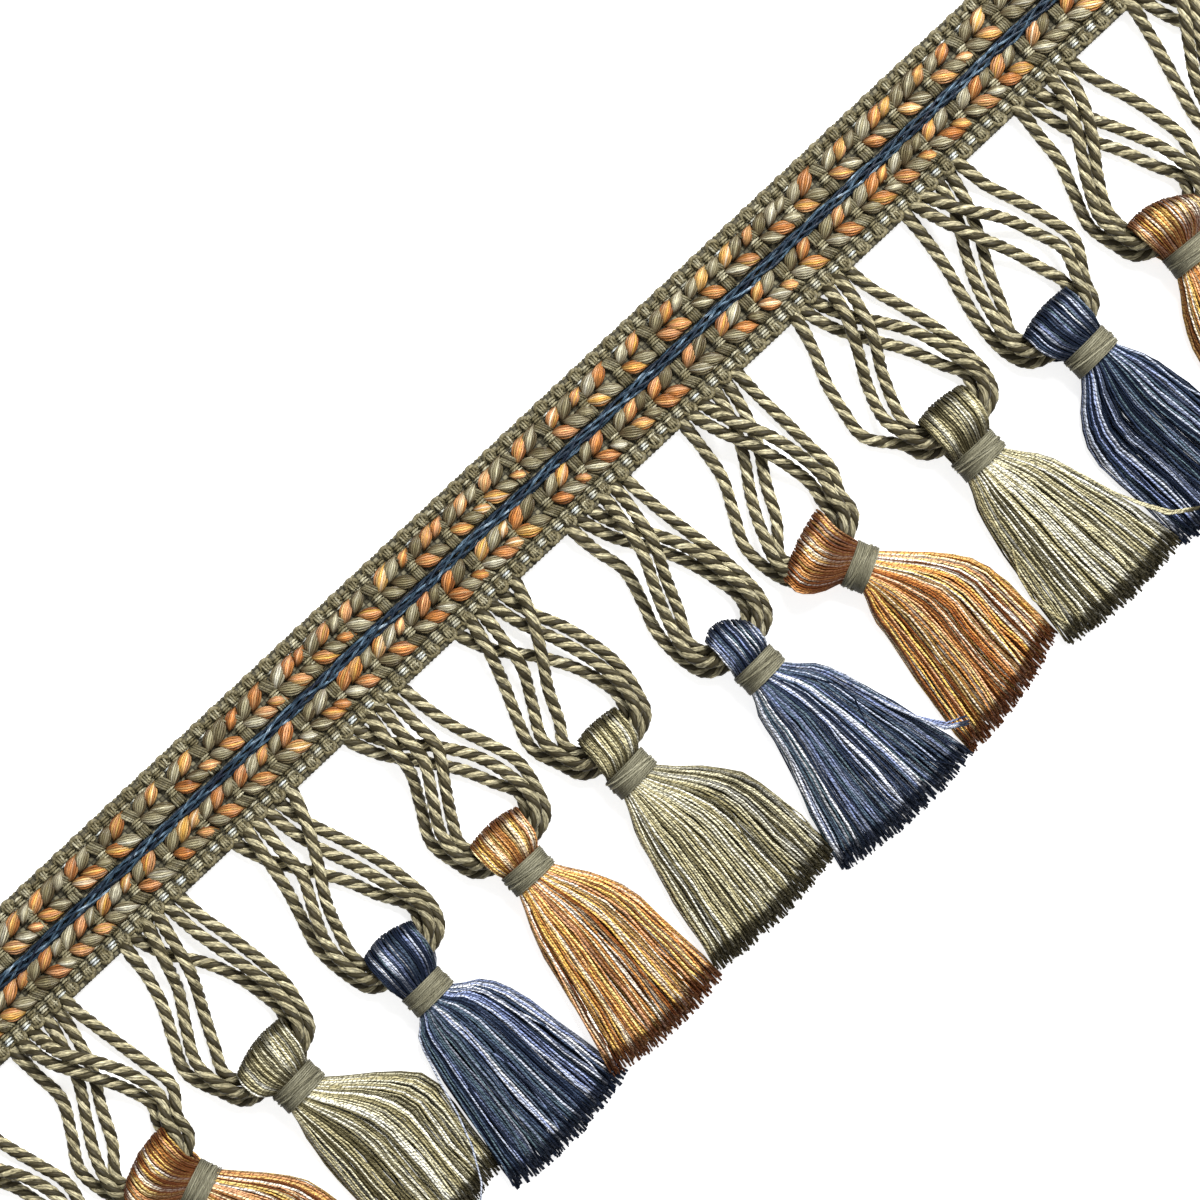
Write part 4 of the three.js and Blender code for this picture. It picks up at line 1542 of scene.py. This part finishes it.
@dataclass
class Heading:
    """Woven gimp band: ground, scalloped borders, warp stitches, ribs, leaves and centre cord.

    Names that end in x, y or z are places, and those that end in gap say how far from the
    heading's ends a thing stops. The ground's long edges stand out by edge_out, by
    edge_groove_out half way up, and by edge_rib less at every other step. over_way is the way of
    a short thread over a scallop's ring: spread beside its neighbours, distance in from the tip,
    and height. over_light is the painted light along that thread, darkest at its inner end.
    rib_spans holds the top, bottom and slant of the ribs that cross each row of leaves, and the
    rows of leaves their middle and 1 or -1 for their slope. leaf_ends is the thickness along a
    leaf's thread, and leaf_light the painted light along it, with painted shade at the tips.
    """

    rng: random.Random
    top: float = 53.8
    bottom: float = 31.2
    ground_z: float = 2.2
    ground_gap: float = 0.2
    ground_edges: float = 2.6
    edge_out: float = 1.2
    edge_groove_out: float = 0.7
    edge_rib: float = 0.2
    edge_steps: int = 696
    scallop_pitch: float = LENGTH / 78
    scallop_reach: float = 1.15
    scallop_cord: float = 0.5
    scallop_step: float = 0.36
    scallop_gap: float = 0.9
    over_gap: float = 1.9
    over_light: tuple[float, ...] = (0.45, 1.0, 0.7, 0.9)
    top_tip_x: float = -3.42
    bottom_tip_x: float = -0.76
    over_way: tuple[Point, ...] = (
        (0.7, 2.9, 2.7), (0.85, 2.1, 3.05), (1.0, 1.3, 3.0), (1.1, 0.75, 2.5),
    )
    stitch_thread: float = 0.27
    stitch_length: float = 1.85
    stitch_gap: float = 0.4
    stitch_z: float = 2.75
    stitch_dip: float = 0.45
    stitch_least: float = 0.5
    stitch_light: tuple[float, ...] = (0.55, 1.0, 1.0, 0.55)
    top_stitches_y: tuple[float, ...] = (51.85, 51.3, 50.75, 50.2)
    bottom_stitches_y: tuple[float, ...] = (35.05, 34.45, 33.85, 33.25, 32.65)
    bottom_stitch_x: float = 1.47
    rib_stitches_y: tuple[float, ...] = (47.55, 47.0, 46.45, 38.8, 38.25, 37.7)
    rib_stitch_z: float = 3.45
    repeat: float = LENGTH / 39
    rib_x: float = -1.5
    rib_width: float = 2.3
    rib_threads: int = 5
    rib_spacing: float = 0.47
    rib_z: tuple[float, float] = (2.8, 3.5)
    rib_gap: float = 1.2
    rib_spans: tuple[Point, ...] = (
        (50.6, 47.8, 0.7), (46.2, 44.0, 0.0), (41.4, 38.9, 0.0), (37.6, 35.2, 0.7),
    )
    upper_rows: tuple[tuple[float, int], ...] = ((49.2, 1), (45.9, -1))
    lower_rows: tuple[tuple[float, int], ...] = ((40.2, 1), (37.0, -1))
    leaf_length: float = 5.9
    leaf_width: float = 2.2
    leaf_threads: int = 6
    leaf_thread: float = 0.23
    leaf_z: float = 2.55
    leaf_rise: float = 1.45
    leaf_gap: float = 2.6
    leaf_ends: tuple[float, ...] = (0.5, 0.9, 1.05, 1.1, 1.05, 0.9, 0.5)
    leaf_light: tuple[float, ...] = (0.1, 0.5, 1.0, 1.35, 1.2, 0.75, 0.2)
    strands: int = 10
    strand_thread: float = 0.29
    strand_points: int = 280
    strand_gap: float = 0.2
    strand_lays: tuple[float, float] = (-23.0, 30.0)
    centre_z: float = 3.05

    @property
    def repeats(self) -> list[float]:
        """Places of the ribs.

        Returns:
            X of each rib from end to end.
        """
        first = math.ceil((-LENGTH / 2 - self.rib_x) / self.repeat)
        last = math.floor((LENGTH / 2 - self.rib_x) / self.repeat)
        return [self.rib_x + k * self.repeat for k in range(first, last + 1)]

    def ground(self) -> bpy.types.Object:
        """Woven cloth that everything else is worked on.

        Returns:
            A thin slab whose long edges have a groove and are ribbed by the turning weft.
        """
        length = LENGTH - 2 * self.ground_gap
        width = self.top - self.bottom - self.ground_edges
        middle = (self.top + self.bottom) / 2 * MM
        cloth = bmesh.new()
        bmesh.ops.create_grid(cloth, x_segments=self.edge_steps, y_segments=3, size=0.5)
        bmesh.ops.scale(cloth, verts=cloth.verts, vec=(length * MM, width * MM, 1.0))
        bmesh.ops.translate(cloth, verts=cloth.verts, vec=(0, middle, 0))
        walls = bmesh.ops.extrude_face_region(cloth, geom=cloth.faces[:])
        raised = [v for v in walls["geom"] if isinstance(v, bmesh.types.BMVert)]
        bmesh.ops.translate(cloth, verts=raised, vec=(0, 0, self.ground_z * MM))
        upright = [e for e in cloth.edges if abs(e.verts[0].co.z - e.verts[1].co.z) > MM]
        bmesh.ops.subdivide_edges(cloth, edges=upright, cuts=1)
        for corner in cloth.verts:
            side = (corner.co.y - middle) / (width / 2 * MM)
            if abs(side) < 0.99:
                continue
            step = round((corner.co.x / length / MM + 0.5) * self.edge_steps)
            half_up = abs(corner.co.z - self.ground_z / 2 * MM) < 0.1 * MM
            out = (self.edge_groove_out if half_up else self.edge_out) - self.edge_rib * (step % 2)
            corner.co.y += math.copysign(out, side) * MM
        bmesh.ops.recalc_face_normals(cloth, faces=cloth.faces)
        mesh = bpy.data.meshes.new("heading_ground")
        cloth.to_mesh(mesh)
        cloth.free()
        return place_new("heading_ground", mesh)

    def scallops(self, name: str, edge: float, inward: int, first: float) -> Bundle:
        """Cord that runs along an edge in open rings, with short threads worked over each ring.

        Args:
            name: the piece's name.
            edge: Y of the scallops' tips.
            inward: -1 where the band lies below the edge, 1 where above.
            first: X of one scallop's tip.

        Returns:
            The border cord and the threads over it.
        """
        bundle = Bundle(name, self.scallop_cord)
        half = LENGTH / 2 - self.scallop_gap
        points = []
        start = math.ceil((-half - first) / self.scallop_pitch - 0.5)
        stop = math.floor((half - first) / self.scallop_pitch + 0.5)
        for tip_x in (first + k * self.scallop_pitch for k in range(start, stop + 1)):
            reach = self.scallop_reach * self.rng.uniform(0.92, 1.08)
            for swing in range(-150, 151, 30):
                c, s = math.cos(math.radians(swing)), math.sin(math.radians(swing))
                x, y = tip_x + reach * s, edge + inward * (self.scallop_cord + reach * (1 - c))
                if abs(x) < half:
                    points.append((x, y, self.ground_z + 0.6 * c))
            if abs(tip_x) >= LENGTH / 2 - self.over_gap:
                continue
            # Each short thread over a ring carries painted light, darkest at its inner end.
            for off in (-0.55, 0.0, 0.55):
                over = [(tip_x + off * spread, edge + inward * depth, z)
                        for spread, depth, z in self.over_way]
                bundle.add(np.array(over), self.rng.uniform(0.3, 0.8), np.array(self.over_light), 0.5)
        line = even_line(smooth_line(points, len(points) * 2), self.scallop_step)
        # The ring cord gets painted shade, darker in the hollows between the scallops' tips.
        bundle.add(line, 0.4, 0.85 - 0.5 * ease((inward * (line[:, 1] - edge) - 1.2) / 1.4))
        return bundle

    def stitches(self) -> Bundle:
        """Warp threads that show as rows of short dashes along both borders and across the ribs.

        Returns:
            The stitches' threads.
        """
        bundle = Bundle("warp_stitches", self.stitch_thread)
        column = self.scallop_pitch / 2
        count = int(LENGTH / column)
        borders = ((self.top_stitches_y, self.top_tip_x), (self.bottom_stitches_y, self.bottom_stitch_x))
        for rows, tip_x in borders:
            for row, y in enumerate(rows):
                for k in range(-(count // 2), count - count // 2 + 1):
                    x, odd = tip_x + k * column, k % 2
                    if abs(x) > LENGTH / 2 - self.stitch_gap:
                        continue
                    bright = odd == 0 and row in (2, 3)
                    tone = self.rng.uniform(0.86, 1.0) if bright else self.rng.uniform(0.2, 0.85)
                    place_x, place_y = x + self.rng.uniform(-0.1, 0.1), y + 0.3 * odd
                    place = (place_x, place_y, self.stitch_z + 0.15 * odd)
                    self.add_dash(bundle, place, self.stitch_length, tone)
        for x in self.repeats:
            for y in self.rib_stitches_y:
                tone = self.rng.uniform(0.4, 0.85)
                self.add_dash(bundle, (x, y, self.rib_stitch_z), self.rib_width, tone)
        return bundle

    def add_dash(self, bundle: Bundle, middle: Point, length: float, tone: float) -> None:
        """Adds a stitch that dips under at both ends, cut short where the heading ends.

        Args:
            bundle: the stitches' threads.
            middle: its middle.
            length: its whole length.
            tone: place in the finish's range of colours.
        """
        x, y, z = middle
        half = LENGTH / 2 - self.stitch_gap
        low, high = max(x - length / 2, -half), min(x + length / 2, half)
        if high - low < self.stitch_least:
            return
        step, dip = (high - low) / 3, z - self.stitch_dip
        line = np.array([(low, y, dip), (low + step, y, z), (high - step, y, z), (high, y, dip)])
        bundle.add(line, tone, self.rng.uniform(0.85, 1.1), np.array(self.stitch_light))

    def ribs(self) -> Bundle:
        """Weft threads that cross the plaits at every repeat, upright or slanting.

        Returns:
            The ribs' threads.
        """
        bundle = Bundle("weft_ribs", self.stitch_thread)
        foot_z, back_z = self.rib_z
        for x in self.repeats:
            for top, bottom, slant in self.rib_spans:
                for k in range(self.rib_threads):
                    at_x = x + (k - self.rib_threads // 2) * self.rib_spacing
                    at_x += self.rng.uniform(-0.06, 0.06)
                    if abs(at_x) > LENGTH / 2 - self.rib_gap:
                        continue
                    points = [(at_x - slant, top, foot_z), (at_x - slant * 0.5, top - 0.6, back_z),
                              (at_x + slant * 0.5, bottom + 0.6, back_z), (at_x + slant, bottom, foot_z)]
                    line = smooth_line(points, 5)
                    # Painted shade: the ribs, lying low between the leaves, are dimmed.
                    bundle.add(line, self.rng.uniform(0.15, 0.7), self.rng.uniform(0.5, 0.85))
        return bundle

    def leaves(self, name: str, rows: tuple[tuple[float, int], ...]) -> Bundle:
        """Satin leaves of one plait, each a float of side-by-side threads.

        Args:
            name: the piece's name.
            rows: middle Y of each row, and 1 where its leaves rise to the right or -1.

        Returns:
            The leaves' threads.
        """
        bundle = Bundle(name, self.leaf_thread)
        for y, slope in rows:
            warm = self.rng.random() < 0.5
            for x in self.repeats:
                for k in range(3):
                    if k == 2 and self.rng.random() < 0.5:
                        continue
                    middle = x + (0.34 + k * 0.31) * self.repeat + self.rng.uniform(-0.25, 0.25)
                    warm = self.rng.random() < (0.12 if warm else 0.8)
                    base = self.rng.uniform(0.6, 0.88) if warm else self.rng.uniform(0.16, 0.38)
                    angle = math.radians(slope * self.rng.uniform(30, 37))
                    size = self.rng.uniform(0.9, 1.1) * (1.0 if k < 2 else 0.78)
                    if abs(middle) <= LENGTH / 2 - self.leaf_gap:
                        self.add_leaf(bundle, (middle, y), angle, size, base, 0.06 * k)
        return bundle

    def add_leaf(self, bundle: Bundle, middle: tuple[float, float], angle: float, size: float,
                 base: float, rise: float) -> None:
        """Adds one leaf.

        Args:
            bundle: the plait's threads.
            middle: its middle on the heading.
            angle: its slope.
            size: its size beside the usual one.
            base: tone that its threads stay near.
            rise: how much higher than usual it lies.
        """
        c, s = math.cos(angle), math.sin(angle)
        half = (self.leaf_threads - 1) / 2
        gain, lowest, highest = (0.22, 0.53, 1.0) if base > 0.5 else (0.2, 0.0, 0.49)
        for j in range(self.leaf_threads):
            off = (j - half) / half
            points = []
            for t in np.linspace(0, 1, len(self.leaf_ends)):
                swell = math.sin(math.pi * (0.03 + 0.94 * t)) ** 0.95
                along = (t - 0.5) * self.leaf_length * size * (1 - 0.1 * off * off)
                bend = 0.18 * math.sin(math.pi * t) * (1 if angle > 0 else -1)
                across = off * self.leaf_width / 2 * size * swell + bend
                z = self.leaf_z + rise + self.leaf_rise * swell * math.sqrt(1 - 0.62 * off * off)
                points.append((middle[0] + c * along - s * across, middle[1] + s * along + c * across, z))
            inner = 1 - abs(off)
            tone = base - 0.12 + gain * inner + self.rng.uniform(-0.14, 0.14)
            # Painted light: a leaf's edge threads and its tips are darker, its middle lighter.
            light = self.rng.uniform(0.6, 1.15) * (0.6 + 0.4 * inner) * np.array(self.leaf_light)
            bundle.add(np.array(points), min(max(tone, lowest), highest), light, np.array(self.leaf_ends))

    def centre_cord(self) -> Bundle:
        """Loose strands of the cord that is couched along the middle.

        Returns:
            The cord's strands.
        """
        bundle = Bundle("centre_cord_strands", self.strand_thread)
        half = LENGTH / 2 - self.strand_gap
        x = np.linspace(-half, half, self.strand_points)
        for k in range(self.strands):
            angle = 2 * math.pi * (k / self.strands + x / self.strand_lays[k % 2])
            reach = 0.92 + 0.08 * np.sin(x / 5.3 + k)
            y = GROOVE_Y + reach * np.cos(angle) + 0.14 * np.sin(x / (1.5 + 0.2 * k) + 2 * k)
            z = self.centre_z + 0.86 * reach * np.sin(angle)
            tone = 0.15 + 0.6 * ((k * 3) % self.strands) / self.strands
            bundle.add(np.stack([x, y, z], axis=1), tone)
        return bundle

    def build(self) -> None:
        border, leaf = BORDER_FINISH.material(), LEAF_FINISH.material()
        ground = self.ground()
        finish_piece(ground, GROUND_FINISH.material(), ("heading",))
        upper = self.leaves("upper_plait_leaves", self.upper_rows).build()
        lower = self.leaves("lower_plait_leaves", self.lower_rows).build()
        worked = [
            self.scallops("top_scallops", self.top, -1, self.top_tip_x).build(),
            self.scallops("bottom_scallops", self.bottom, 1, self.bottom_tip_x).build(),
            self.stitches().build(),
            self.ribs().build(),
        ]
        for piece in worked:
            finish_piece(piece, border)
        for piece in (upper, lower):
            finish_piece(piece, leaf)
        centre = self.centre_cord().build()
        finish_piece(centre, CENTRE_FINISH.material(), ("centre_cord",))


def main() -> None:
    """Builds the studio, the loops, the heading and the tassels."""
    logging.basicConfig(level=logging.INFO, format="%(name)s: %(message)s")
    Studio().build()
    rng = random.Random(SEED)
    places = [TasselPlace(i, row) for i, row in enumerate(TASSELS)]
    cord, wrap = CORD_FINISH.material(), WRAP_FINISH.material()
    for place in places:
        LoopSet(place, rng).build(cord)
    Heading(rng).build()
    yarns = {yarn: finish.material() for yarn, finish in YARN_FINISHES.items()}
    for place in places:
        Tassel(place, rng).build(yarns[place.row.yarn], wrap)
    faces = sum(len(o.data.polygons) for o in bpy.data.objects if o.type == "MESH")
    LOG.info("all pieces: %d faces", faces)


if __name__ == "__main__":
    main()
